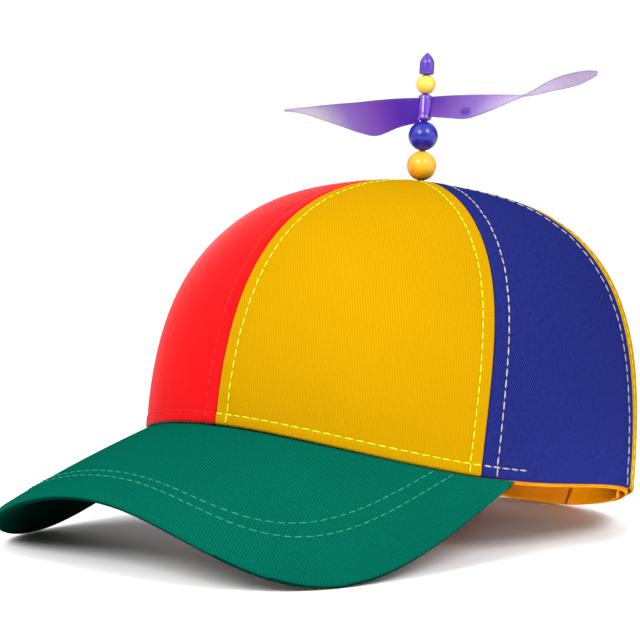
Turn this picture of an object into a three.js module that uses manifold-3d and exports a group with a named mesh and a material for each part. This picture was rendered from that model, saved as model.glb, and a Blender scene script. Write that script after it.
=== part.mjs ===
// Propeller cap: a six-panel cloth cap with a curved brim, and a propeller that spins on a post at its top.
// Millimetres, +Z up. The brim points to -Y and +X is the wearer's left.
// The cap rests on the tips of its brim and on the strap at its back, on the plane z = 0.
import * as THREE from 'three';
import { mergeVertices } from 'three/addons/utils/BufferGeometryUtils.js';
import Module from 'manifold-3d';

const wasm = await Module();
wasm.setup();

// Values that change round the cap: mean + front cos(a) + sides cos(2a) + waves cos(3a), a from the front.
const RIM_LEVEL = { mean: 23.1, front: 18.1, sides: -0.7, waves: 3.4 };
const WIDEST_LEVEL = { mean: 25.2, front: -13.5, sides: 0, waves: 0 };
const ROUNDNESS = { mean: 2.64, front: 0.19, sides: 0, waves: 0 };
const TOP_SLOPE = { mean: 0.103, front: -0.121, sides: 0, waves: 0 };

// Crown, measured on its outer face.
const CROWN_HALF_WIDTH = 83.2;
const CROWN_FRONT_REACH = 97.0;
const CROWN_BACK_REACH = 98.8;
const CROWN_PLAN_POWER = 2.13;
const CROWN_TOP = 128.4;
const APEX_SETBACK = 12.3;
const LOWER_TAPER = 0.3;
const POST_HOLE_RADIUS = 1.9;
const PANEL_THICKNESS = 1.5;
const GAP = 0.3;

// Seams: angle from the front at the rim, and how far the seam bows toward the back on its way up.
const CENTRE_FRONT = { angle: 0, bow: 0 };
const FRONT_SEAM = { angle: 59.0, bow: 5.9 };
const BACK_SEAM = { angle: 121.5, bow: 1.4 };
const CENTRE_BACK = { angle: 180, bow: 0 };
const PANEL_ROWS = 18;
const PANEL_COLUMNS = 11;
const BACK_COLUMNS = { beforeOpening: 5, overOpening: 8 };

// Opening at the back, a half moon over the strap.
const OPENING_HALF_ANGLE = 22;
const OPENING_TOP = 50;

// Sweatband and strap, two stretches of one inner layer.
const SWEATBAND_THICKNESS = 1.0;
const SWEATBAND_ABOVE_RIM = 28;
const SWEATBAND_BELOW_RIM = 1.3;
const SWEATBAND_COLUMNS = 60;
const SWEATBAND_ROWS = 3;
const STRAP_THICKNESS = 1.5;
const STRAP_WIDTH = 20;
const STRAP_BELOW_RIM = 1.2;
const STRAP_HALF_ANGLE = 29;
const STRAP_COLUMNS = 14;
const STRAP_ROWS = 2;

// Brim: its outline in plan is half a superellipse, and it slopes down from the rim in a low arch.
// Each end is cut short of the point where the outline meets the rim.
const BRIM_END_ANGLE = 68.7;
const BRIM_END_CUT = 0.95;
const BRIM_DEPTH = 124.8;
const BRIM_PLAN_POWER = 3.8;
const BRIM_SLOPE = 18.2;
const BRIM_SIDE_SLOPE = 6.8;
const BRIM_ARCH = 0.085;
const BRIM_THICKNESS = 3.2;
const BRIM_COLUMNS = 36;
// Rows from the crown to the edge: share of the way out, and share of the full thickness.
const BRIM_ROWS = [
  { out: 0, thick: 1 },
  { out: 0.2, thick: 1 },
  { out: 0.4, thick: 1 },
  { out: 0.6, thick: 1 },
  { out: 0.8, thick: 1 },
  { out: 0.95, thick: 1 },
  { out: 0.985, thick: 0.8 },
  { out: 1, thick: 0.35 },
];

// Stack on the post, with heights counted from the top of the crown along the post.
const POST_LEAN_BACK = 2.8;
const POST_RADIUS = 1.2;
const POST_TOP = 44.0;
const POST_FOOT = { radius: 6, low: -4.4, high: -3.2 };
const BORE_RADIUS = 1.5;
const BEAD_RADIUS = 5.54;
const SMALL_BEAD_RADIUS = 3.68;
const LOWER_BEAD_HEIGHT = 5.6;
const MIDDLE_BEAD_HEIGHT = 16.8;
const UPPER_BEAD_HEIGHT = 36.0;
const FINIAL = { low: 39.75, radius: 2.8, shoulder: 4.9, height: 8.3, bore: 4.9 };
const FINIAL_NOSE = { power: 0.8, steps: 5 };
const ROUND_SIDES = 16;

// Propeller: the hub, and each blade's sections from the hub out. Reach is along the blade, rise is above
// the middle of the hub, and pitch is the angle of the chord from level.
const HUB = { radius: 2.5, low: 22.5, high: 32.2 };
const PROPELLER_ANGLE = 32.5;
const BLADE_THICKNESS = 1.0;
const BLADE_EDGE = 0.45;
const BLADE_STEPS = 18;
const CHORD_STEPS = 4;
const RAISED_BLADE = [
  { reach: 1.9, rise: 1.0, chord: 8.8, pitch: 63 },
  { reach: 9.4, rise: 1.3, chord: 10.9, pitch: 56 },
  { reach: 15.4, rise: 1.5, chord: 13.1, pitch: 48 },
  { reach: 21.5, rise: 2.6, chord: 15.2, pitch: 34 },
  { reach: 30.0, rise: 4.7, chord: 16.4, pitch: 18 },
  { reach: 38.4, rise: 7.0, chord: 16.5, pitch: 3 },
  { reach: 47.7, rise: 11.0, chord: 15.0, pitch: -11 },
  { reach: 55.2, rise: 13.3, chord: 12.5, pitch: -18 },
  { reach: 60.4, rise: 15.0, chord: 8.6, pitch: -18 },
  { reach: 63.5, rise: 16.0, chord: 2.8, pitch: -15 },
];
const LEVEL_BLADE = [
  { reach: 1.9, rise: -0.5, chord: 9.7, pitch: 68 },
  { reach: 9.4, rise: -1.8, chord: 12.0, pitch: 60 },
  { reach: 17.8, rise: -4.1, chord: 15.7, pitch: 54 },
  { reach: 24.3, rise: -4.3, chord: 16.7, pitch: 40 },
  { reach: 31.8, rise: -3.7, chord: 16.5, pitch: 27 },
  { reach: 39.8, rise: -3.1, chord: 14.6, pitch: 16 },
  { reach: 46.8, rise: -2.6, chord: 10.7, pitch: 6 },
  { reach: 50.5, rise: -2.6, chord: 7.1, pitch: 1 },
  { reach: 53.2, rise: -2.7, chord: 1.4, pitch: 0 },
];

const YELLOW_TWILL = { color: 0xf2b505, roughness: 0.85, metalness: 0 };
const BLUE_TWILL = { color: 0x2a3282, roughness: 0.85, metalness: 0 };
const RED_TWILL = { color: 0xff2a2e, roughness: 0.8, metalness: 0 };
const GREEN_TWILL = { color: 0x03735f, roughness: 0.85, metalness: 0 };
const ORANGE_LACQUER = { color: 0xf5b52e, roughness: 0.2, metalness: 0 };
const BLUE_LACQUER = { color: 0x3a46b8, roughness: 0.2, metalness: 0 };
const PALE_LACQUER = { color: 0xfbe06a, roughness: 0.2, metalness: 0 };
const PURPLE_PLASTIC = { color: 0x6a3fc8, roughness: 0.3, metalness: 0 };

// Small steps for slopes, in radians on the crown and in shares on the brim, and the fineness of a search.
const CROWN_NUDGE = 1e-3;
const BRIM_NUDGE = 5e-3;
const HALVINGS = 40;
const SAME_POINT = 1e-4;

const APEX_PLACE = new THREE.Vector3(0, APEX_SETBACK, 0);
const radians = THREE.MathUtils.degToRad;
const mix = THREE.MathUtils.lerp;

function steps(count) {
  return Array.from({ length: count + 1 }, (_, i) => i / count);
}

function around(angle, value) {
  const { mean, front, sides, waves } = value;
  return mean + front * Math.cos(angle) + sides * Math.cos(2 * angle) + waves * Math.cos(3 * angle);
}

// Closed solids

// Only positions, with shared vertices and no empty triangles, and the faces pointing out.
function closed(geometry) {
  geometry.deleteAttribute('normal');
  geometry.deleteAttribute('uv');
  const merged = mergeVertices(geometry, SAME_POINT);
  const index = merged.getIndex().array;
  const place = merged.getAttribute('position');
  const corner = (i) => new THREE.Vector3().fromBufferAttribute(place, i);
  const kept = [];
  let volume = 0;
  for (let i = 0; i < index.length; i += 3) {
    const [a, b, c] = index.slice(i, i + 3);
    if (a === b || b === c || c === a) continue;
    kept.push([a, b, c]);
    volume += corner(a).dot(corner(b).cross(corner(c)));
  }
  merged.setIndex(kept.flatMap(([a, b, c]) => (volume > 0 ? [a, b, c] : [a, c, b])));
  return merged;
}

// A wall between two faces, each a list of columns of points, closed along its four edges.
function wall(outer, inner) {
  const columns = outer.length;
  const rows = outer[0].length;
  const points = [...outer.flat(), ...inner.flat()];
  const at = (side, column, row) => (side * columns + column) * rows + row;
  const index = [];
  const quad = (a, b, c, d) => index.push(a, b, c, a, c, d);
  for (let i = 0; i < columns - 1; i += 1) {
    for (let j = 0; j < rows - 1; j += 1) {
      quad(at(0, i, j), at(0, i + 1, j), at(0, i + 1, j + 1), at(0, i, j + 1));
      quad(at(1, i, j), at(1, i, j + 1), at(1, i + 1, j + 1), at(1, i + 1, j));
    }
    quad(at(0, i, 0), at(1, i, 0), at(1, i + 1, 0), at(0, i + 1, 0));
    quad(at(0, i, rows - 1), at(0, i + 1, rows - 1), at(1, i + 1, rows - 1), at(1, i, rows - 1));
  }
  for (let j = 0; j < rows - 1; j += 1) {
    quad(at(0, 0, j), at(0, 0, j + 1), at(1, 0, j + 1), at(1, 0, j));
    quad(at(0, columns - 1, j), at(1, columns - 1, j), at(1, columns - 1, j + 1), at(0, columns - 1, j + 1));
  }
  const geometry = new THREE.BufferGeometry().setFromPoints(points);
  geometry.setIndex(index);
  return closed(geometry);
}

// A profile of [radius, height] points turned about the Z axis.
function turned(profile) {
  const points = profile.map(([radius, height]) => new THREE.Vector2(radius, height));
  return closed(new THREE.LatheGeometry(points, ROUND_SIDES).rotateX(Math.PI / 2));
}

function toManifold(geometry) {
  const vertProperties = new Float32Array(geometry.getAttribute('position').array);
  const triVerts = new Uint32Array(geometry.getIndex().array);
  return new wasm.Manifold(new wasm.Mesh({ numProp: 3, vertProperties, triVerts }));
}

function joined(geometries) {
  const solid = geometries.map(toManifold).reduce((a, b) => a.add(b));
  const { vertProperties, triVerts } = solid.getMesh();
  const geometry = new THREE.BufferGeometry();
  geometry.setAttribute('position', new THREE.BufferAttribute(vertProperties, 3));
  geometry.setIndex(new THREE.BufferAttribute(triVerts, 1));
  return geometry;
}

function piece(name, geometry, finish) {
  const mesh = new THREE.Mesh(geometry, new THREE.MeshStandardMaterial(finish));
  mesh.name = name;
  return mesh;
}

// Crown surface

// Distance from the cap's middle to the outer face at its widest ring.
function planReach(angle) {
  const along = Math.cos(angle) > 0 ? CROWN_FRONT_REACH : CROWN_BACK_REACH;
  const across = Math.abs(Math.sin(angle) / CROWN_HALF_WIDTH) ** CROWN_PLAN_POWER;
  return (across + Math.abs(Math.cos(angle) / along) ** CROWN_PLAN_POWER) ** (-1 / CROWN_PLAN_POWER);
}

// Climb is the place along a meridian: 0 at the widest ring, a right angle at the top, negative below.
function crownPoint(angle, climb) {
  const power = 2 / around(angle, ROUNDNESS);
  const widest = around(angle, WIDEST_LEVEL);
  const span = CROWN_TOP - widest;
  const upper = climb > 0;
  const share = upper ? Math.cos(climb) ** power : 1 - LOWER_TAPER * climb * climb;
  const slope = upper ? around(angle, TOP_SLOPE) * share * (1 - share) ** 2 : 0;
  const level = widest + span * ((upper ? Math.sin(climb) ** power : climb) - slope);
  const reach = planReach(angle) * share;
  const forward = reach * Math.cos(angle) - APEX_SETBACK * (1 - share);
  return new THREE.Vector3(reach * Math.sin(angle), -forward, level);
}

function climbAtLevel(angle, level) {
  const widest = around(angle, WIDEST_LEVEL);
  const share = (level - widest) / (CROWN_TOP - widest);
  return share > 0 ? Math.asin(share ** (around(angle, ROUNDNESS) / 2)) : share;
}

// The climb where the wall meets the hole for the post.
function topClimb(angle) {
  return Math.acos((POST_HOLE_RADIUS / planReach(angle)) ** (around(angle, ROUNDNESS) / 2));
}

function crownNormal(angle, climb) {
  const across = crownPoint(angle + CROWN_NUDGE, climb).sub(crownPoint(angle - CROWN_NUDGE, climb));
  const up = crownPoint(angle, climb + CROWN_NUDGE).sub(crownPoint(angle, climb - CROWN_NUDGE));
  return across.cross(up).normalize();
}

// A point inside the wall, square to the outer face.
function crownLayer(angle, climb, depth) {
  return crownPoint(angle, climb).addScaledVector(crownNormal(angle, climb), -depth);
}

// A point inside the wall, level with the outer face, for edges and for the inner band.
function crownLayerAtLevel(angle, level, depth) {
  const climb = climbAtLevel(angle, level);
  const inward = crownNormal(angle, climb).setZ(0);
  const point = crownPoint(angle, climb).addScaledVector(inward, -depth / inward.lengthSq());
  return point.setZ(level);
}

function rimLevel(angle) {
  return around(angle, RIM_LEVEL);
}

function seamAngle(seam, share) {
  return radians(seam.angle + seam.bow * Math.sin(Math.PI * share));
}

// Panels

// The wall's columns run from one seam to the other, and each starts at its own level above the floor.
function panel(from, to, columns) {
  const outer = [];
  const inner = [];
  for (const { across, level } of columns) {
    const foot = mix(radians(from.angle), radians(to.angle), across);
    const places = steps(PANEL_ROWS).map((share) => {
      const middle = mix(seamAngle(from, share), seamAngle(to, share), across);
      const climb = mix(climbAtLevel(foot, level), topClimb(foot), share);
      const radius = crownPoint(middle, climb).sub(APEX_PLACE).setZ(0).length();
      return { angle: middle + Math.asin(GAP / 2 / radius) * (1 - 2 * across), climb };
    });
    const outerColumn = places.map(({ angle, climb }) => crownPoint(angle, climb));
    const innerColumn = places.map(({ angle, climb }) => crownLayer(angle, climb, PANEL_THICKNESS));
    innerColumn[0] = crownLayerAtLevel(places[0].angle, outerColumn[0].z, PANEL_THICKNESS);
    outer.push(outerColumn);
    inner.push(innerColumn);
  }
  return wall(outer, inner);
}

function rimColumns(from, to) {
  return steps(PANEL_COLUMNS).map((across) => {
    const angle = mix(radians(from.angle), radians(to.angle), across);
    return { across, level: rimLevel(angle) };
  });
}

// Rim columns up to the half moon, then columns that climb its side to the centre back.
function backColumns() {
  const width = CENTRE_BACK.angle - BACK_SEAM.angle;
  const corner = 1 - OPENING_HALF_ANGLE / width;
  const cornerLevel = rimLevel(radians(CENTRE_BACK.angle - OPENING_HALF_ANGLE));
  const plain = steps(BACK_COLUMNS.beforeOpening).map((share) => {
    const across = share * corner;
    return { across, level: rimLevel(radians(BACK_SEAM.angle + across * width)) };
  });
  const opening = steps(BACK_COLUMNS.overOpening).slice(1).map((share) => {
    const turn = share * Math.PI / 2;
    const across = 1 - (1 - corner) * Math.cos(turn);
    return { across, level: mix(cornerLevel, OPENING_TOP, Math.sin(turn)) };
  });
  return [...plain, ...opening];
}

function mirrored(geometry) {
  return closed(geometry.clone().scale(-1, 1, 1));
}

function crownPieces() {
  const front = panel(CENTRE_FRONT, FRONT_SEAM, rimColumns(CENTRE_FRONT, FRONT_SEAM));
  const side = panel(FRONT_SEAM, BACK_SEAM, rimColumns(FRONT_SEAM, BACK_SEAM));
  const back = panel(BACK_SEAM, CENTRE_BACK, backColumns());
  return [
    piece('front_left_panel', front, YELLOW_TWILL),
    piece('front_right_panel', mirrored(front), RED_TWILL),
    piece('left_panel', side, BLUE_TWILL),
    piece('right_panel', mirrored(side), BLUE_TWILL),
    piece('back_left_panel', back, YELLOW_TWILL),
    piece('back_right_panel', mirrored(back), RED_TWILL),
  ];
}

// Inner band

// A stretch of the layer inside the panels, between two angles from the front.
function band(fromAngle, toAngle, columns, thickness, levels) {
  const near = PANEL_THICKNESS + GAP;
  const face = (depth) => steps(columns).map((share) => {
    const angle = mix(fromAngle, toAngle, share);
    return levels(angle).map((level) => crownLayerAtLevel(angle, level, depth));
  });
  return wall(face(near), face(near + thickness));
}

function sweatband() {
  const gapAngle = GAP / CROWN_BACK_REACH;
  const end = Math.PI - radians(STRAP_HALF_ANGLE) - gapAngle;
  const levels = (angle) => steps(SWEATBAND_ROWS).map((share) => {
    return rimLevel(angle) + mix(-SWEATBAND_BELOW_RIM, SWEATBAND_ABOVE_RIM, share);
  });
  const geometry = band(-end, end, SWEATBAND_COLUMNS, SWEATBAND_THICKNESS, levels);
  return piece('sweatband', geometry, YELLOW_TWILL);
}

function backStrap() {
  const half = radians(STRAP_HALF_ANGLE);
  const levels = (angle) => {
    const low = Math.max(0, rimLevel(angle) - STRAP_BELOW_RIM);
    return steps(STRAP_ROWS).map((share) => low + STRAP_WIDTH * share);
  };
  const geometry = band(Math.PI - half, Math.PI + half, STRAP_COLUMNS, STRAP_THICKNESS, levels);
  return piece('back_strap', geometry, YELLOW_TWILL);
}

// Brim

function rimPoint(angle) {
  return crownPoint(angle, climbAtLevel(angle, rimLevel(angle)));
}

// The angle on the rim at a given distance from the middle plane.
function rimAngleAt(distance) {
  let low = 0;
  let high = radians(BRIM_END_ANGLE);
  for (let i = 0; i < HALVINGS; i += 1) {
    const middle = (low + high) / 2;
    if (rimPoint(middle).x < distance) low = middle;
    else high = middle;
  }
  return (low + high) / 2;
}

// The slope down from the rim straight ahead, without the arch.
function brimSlopeLevel(x, y) {
  const angle = rimAngleAt(Math.abs(x));
  const rim = rimPoint(angle);
  return rim.z - (rim.y - y) * Math.tan(radians(BRIM_SLOPE + BRIM_SIDE_SLOPE * Math.sin(angle) ** 2));
}

// A point of the brim's middle face: across from -1 to 1 between its ends, out from 0 at the rim to 1.
function brimPoint(across, out) {
  const root = rimPoint(across * radians(BRIM_END_ANGLE));
  const end = rimPoint(radians(BRIM_END_ANGLE));
  const turn = (Math.PI / 4) * (1 - Math.cos(Math.PI * across));
  const power = 2 / BRIM_PLAN_POWER;
  const edgeX = Math.sign(across) * end.x * Math.sin(turn) ** power;
  const edgeY = end.y - BRIM_DEPTH * Math.max(0, Math.cos(turn)) ** power;
  const x = mix(root.x, edgeX, out);
  const y = mix(root.y, edgeY, out);
  const arch = BRIM_ARCH * Math.hypot(edgeX - root.x, edgeY - root.y) * out * (1 - out);
  const seat = (GAP + BRIM_THICKNESS / 2) / Math.cos(radians(BRIM_SLOPE)) * (1 - out);
  return new THREE.Vector3(x, y, brimSlopeLevel(x, y) + arch - seat);
}

function brimNormal(across, out) {
  const reach = THREE.MathUtils.clamp(out, BRIM_NUDGE, 1 - BRIM_NUDGE);
  const sideways = brimPoint(across + BRIM_NUDGE, reach).sub(brimPoint(across - BRIM_NUDGE, reach));
  const outward = brimPoint(across, reach + BRIM_NUDGE).sub(brimPoint(across, reach - BRIM_NUDGE));
  return outward.cross(sideways).normalize();
}

// The brim's root lies under the panels, so its first row is the rim row moved in by a panel's thickness.
function brim() {
  const face = (side) => steps(BRIM_COLUMNS).map((share) => {
    const across = mix(-BRIM_END_CUT, BRIM_END_CUT, share);
    const rows = BRIM_ROWS.map(({ out, thick }) => {
      const point = brimPoint(across, out);
      point.addScaledVector(brimNormal(across, out), side * thick * BRIM_THICKNESS / 2);
      return point.setZ(Math.max(0, point.z));
    });
    const root = rows[0].clone();
    const angle = Math.atan2(root.x, -root.y);
    const inward = crownNormal(angle, climbAtLevel(angle, rimLevel(angle))).setZ(0).normalize();
    return [root.addScaledVector(inward, -PANEL_THICKNESS), ...rows];
  });
  return piece('brim', wall(face(1), face(-1)), GREEN_TWILL);
}

// Stack on the post

// A drilled ball about the post.
function bead(name, radius, height, finish) {
  const lip = Math.asin(BORE_RADIUS / radius);
  const arc = steps(ROUND_SIDES / 2).map((share) => {
    const angle = mix(lip, Math.PI - lip, share);
    return [radius * Math.sin(angle), -radius * Math.cos(angle)];
  });
  const mesh = piece(name, turned([...arc, arc[0]]), finish);
  mesh.position.z = height;
  return mesh;
}

function post() {
  const { radius, low, high } = POST_FOOT;
  const foot = [[0, low], [radius, low], [radius, high]];
  const profile = [...foot, [POST_RADIUS, high], [POST_RADIUS, POST_TOP], [0, POST_TOP]];
  return piece('post', turned(profile), PURPLE_PLASTIC);
}

function finial() {
  const { radius, shoulder, height, bore } = FINIAL;
  const nose = steps(FINIAL_NOSE.steps).map((share) => {
    const turn = share * Math.PI / 2;
    return [radius * Math.cos(turn) ** FINIAL_NOSE.power, mix(shoulder, height, Math.sin(turn))];
  });
  const profile = [[0, bore], [BORE_RADIUS, bore], [BORE_RADIUS, 0], [radius, 0], ...nose];
  const mesh = piece('finial', turned(profile), PURPLE_PLASTIC);
  mesh.position.z = FINIAL.low;
  return mesh;
}

// A blade along +X, lofted through its sections, with its chord tipped by the pitch.
function blade(sections) {
  const curve = (first, second) => new THREE.CatmullRomCurve3(
    sections.map((section) => new THREE.Vector3(section.reach, section[first], section[second])),
    false,
    'centripetal',
  );
  const line = curve('rise', 'chord');
  const twist = curve('rise', 'pitch');
  const face = (side) => steps(BLADE_STEPS).map((share) => {
    const { x: reach, y: rise, z: chord } = line.getPoint(share);
    const pitch = radians(twist.getPoint(share).z);
    return steps(CHORD_STEPS).map((chordShare) => {
      const along = (chordShare - 0.5) * chord;
      const rim = chordShare === 0 || chordShare === 1;
      const half = side * (rim ? BLADE_EDGE : 1) * BLADE_THICKNESS / 2;
      const y = along * Math.cos(pitch) - half * Math.sin(pitch);
      const z = along * Math.sin(pitch) + half * Math.cos(pitch);
      return new THREE.Vector3(reach, y, rise + z);
    });
  });
  return wall(face(1), face(-1));
}

function propeller() {
  const half = (HUB.high - HUB.low) / 2;
  const outside = [[HUB.radius, -half], [HUB.radius, half]];
  const bore = [[BORE_RADIUS, half], [BORE_RADIUS, -half]];
  const hub = turned([...outside, ...bore, outside[0]]);
  const opposite = closed(blade(LEVEL_BLADE).rotateZ(Math.PI));
  const mesh = piece('propeller', joined([hub, blade(RAISED_BLADE), opposite]), PURPLE_PLASTIC);
  mesh.position.z = HUB.low + half;
  mesh.rotation.z = radians(PROPELLER_ANGLE);
  return mesh;
}

function stack() {
  const group = new THREE.Group();
  group.add(
    post(),
    bead('lower_bead', BEAD_RADIUS, LOWER_BEAD_HEIGHT, ORANGE_LACQUER),
    bead('middle_bead', BEAD_RADIUS, MIDDLE_BEAD_HEIGHT, BLUE_LACQUER),
    propeller(),
    bead('upper_bead', SMALL_BEAD_RADIUS, UPPER_BEAD_HEIGHT, PALE_LACQUER),
    finial(),
  );
  group.position.set(0, APEX_SETBACK, CROWN_TOP);
  group.rotation.x = -radians(POST_LEAN_BACK);
  return group;
}

// The origin is on the resting plane, under the middle of the cap's box.
const cap = new THREE.Group();
cap.add(...crownPieces(), sweatband(), backStrap(), brim(), stack());
const middle = new THREE.Box3().setFromObject(cap, true).getCenter(new THREE.Vector3());
cap.position.y = -middle.y;

export default cap;
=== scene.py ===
"""Looks of a propeller cap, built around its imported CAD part.

The crown, brim, sweatband, strap, beads and propeller are modelled again with cloth, thread and plastic
surfaces, in the CAD part's own frame (metres, Z up, brim towards -Y). Each one rides on the CAD body that
it belongs to.
"""

import bisect
import logging
import math
import random
from dataclasses import dataclass, field
from enum import Enum
from typing import Callable

import bmesh
import bpy
from mathutils import Matrix, Vector, noise
from mathutils.bvhtree import BVHTree


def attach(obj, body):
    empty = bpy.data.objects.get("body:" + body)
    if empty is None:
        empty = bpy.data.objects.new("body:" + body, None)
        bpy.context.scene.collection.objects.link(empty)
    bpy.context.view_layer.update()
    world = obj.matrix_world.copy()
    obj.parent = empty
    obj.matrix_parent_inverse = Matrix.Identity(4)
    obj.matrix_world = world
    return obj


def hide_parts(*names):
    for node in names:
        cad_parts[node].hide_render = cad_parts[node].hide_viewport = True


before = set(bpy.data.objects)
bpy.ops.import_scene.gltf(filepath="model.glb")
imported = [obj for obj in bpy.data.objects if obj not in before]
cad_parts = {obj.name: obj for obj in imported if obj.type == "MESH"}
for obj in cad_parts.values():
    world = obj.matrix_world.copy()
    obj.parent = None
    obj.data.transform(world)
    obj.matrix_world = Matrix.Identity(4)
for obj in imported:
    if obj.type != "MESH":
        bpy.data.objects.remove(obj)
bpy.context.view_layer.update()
LOG = logging.getLogger("propeller_cap")
MM = 0.001
WEAVE = "weave"

Colour = tuple[float, float, float]
Placed = tuple[Vector, tuple[float, float]]


class Body(Enum):
    """The CAD bodies that a piece can ride on."""

    CAP = "cap"
    PROPELLER = "propeller"


class Slot(Enum):
    """The record's material slots."""

    YELLOW_TWILL = "yellow_twill"
    RED_TWILL = "red_twill"
    BLUE_TWILL = "blue_twill"
    GREEN_TWILL = "green_twill"
    ORANGE_LACQUER = "orange_lacquer"
    BLUE_LACQUER = "blue_lacquer"
    PALE_LACQUER = "pale_lacquer"
    PURPLE_PLASTIC = "purple_plastic"
    TINTED_PLASTIC = "tinted_plastic"


class Bands(Enum):
    """The directions that bands of the weave can run in."""

    RIBS = "X"
    GRAINS = "Y"


class Blend(Enum):
    """The ways of laying one colour over another."""

    COVER = "MIX"
    DARKEN = "MULTIPLY"


def mix(a: float, b: float, share: float) -> float:
    """The value that lies at a share of the way from a to b."""
    return a + (b - a) * share


def smooth(share: float) -> float:
    """A share from 0 to 1 with a gentle start and end."""
    held = min(1.0, max(0.0, share))
    return held * held * (3.0 - 2.0 * held)


def spaced(start: float, end: float, count: int) -> list[float]:
    """A list of count values at even steps from start to end."""
    return [mix(start, end, i / (count - 1)) for i in range(count)]


def bell(off: float, width: float) -> float:
    """A soft hump of height 1 that falls off on both sides of 0."""
    return math.exp(-((off / width) ** 2))


def length_of(points: list[Vector]) -> float:
    """The length of a line through points."""
    return sum((b - a).length for a, b in zip(points, points[1:]))


# Shaders

class Shader:
    """A material's node tree with short calls for adding and joining nodes."""

    def __init__(self, name: str) -> None:
        """Starts a material with one principled shader.

        Args:
            name: the material's name.
        """
        self.material = bpy.data.materials.new(name)
        self.material.use_nodes = True
        self.tree = self.material.node_tree
        self.surface = self.tree.nodes["Principled BSDF"]

    def node(self, kind: str, **values: object) -> bpy.types.Node:
        """Adds a node.

        Args:
            kind: the node's type name.
            values: attributes of the node, or values of the input sockets with that name.

        Returns:
            The new node.
        """
        made = self.tree.nodes.new(kind)
        for key, value in values.items():
            label = key.replace("_", " ").title()
            if hasattr(made, key):
                setattr(made, key, value)
            else:
                made.inputs[label].default_value = value
        return made

    def join(self, source: bpy.types.NodeSocket, target: bpy.types.NodeSocket) -> None:
        """Links an output socket to an input socket."""
        self.tree.links.new(source, target)

    def math(self, operation: str, *terms: bpy.types.NodeSocket | float) -> bpy.types.NodeSocket:
        """Adds a math node.

        Args:
            operation: the name of the operation.
            terms: sockets or numbers, in the node's order.

        Returns:
            The node's output socket.
        """
        made = self.tree.nodes.new("ShaderNodeMath")
        made.operation = operation
        for place, term in zip(made.inputs, terms):
            if isinstance(term, (int, float)):
                place.default_value = term
            else:
                self.join(term, place)
        return made.outputs["Value"]

    def ramp(
        self, factor: bpy.types.NodeSocket, stops: list[tuple[float, Colour]]
    ) -> bpy.types.NodeSocket:
        """Adds a colour ramp.

        Args:
            factor: what is looked up.
            stops: places from 0 to 1 with their colours.

        Returns:
            The ramp's colour socket.
        """
        made = self.tree.nodes.new("ShaderNodeValToRGB")
        elements = made.color_ramp.elements
        while len(elements) < len(stops):
            elements.new(0.5)
        for element, (place, colour) in zip(elements, stops):
            element.position = place
            element.color = (*colour, 1.0)
        self.join(factor, made.inputs["Fac"])
        return made.outputs["Color"]

    def set(self, **values: object) -> None:
        """Sets input sockets of the principled shader.

        Args:
            values: the sockets' values, named with underscores for spaces.
        """
        for key, value in values.items():
            label = key.replace("_", " ").title().replace("Ior", "IOR")
            self.surface.inputs[label].default_value = value


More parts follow.
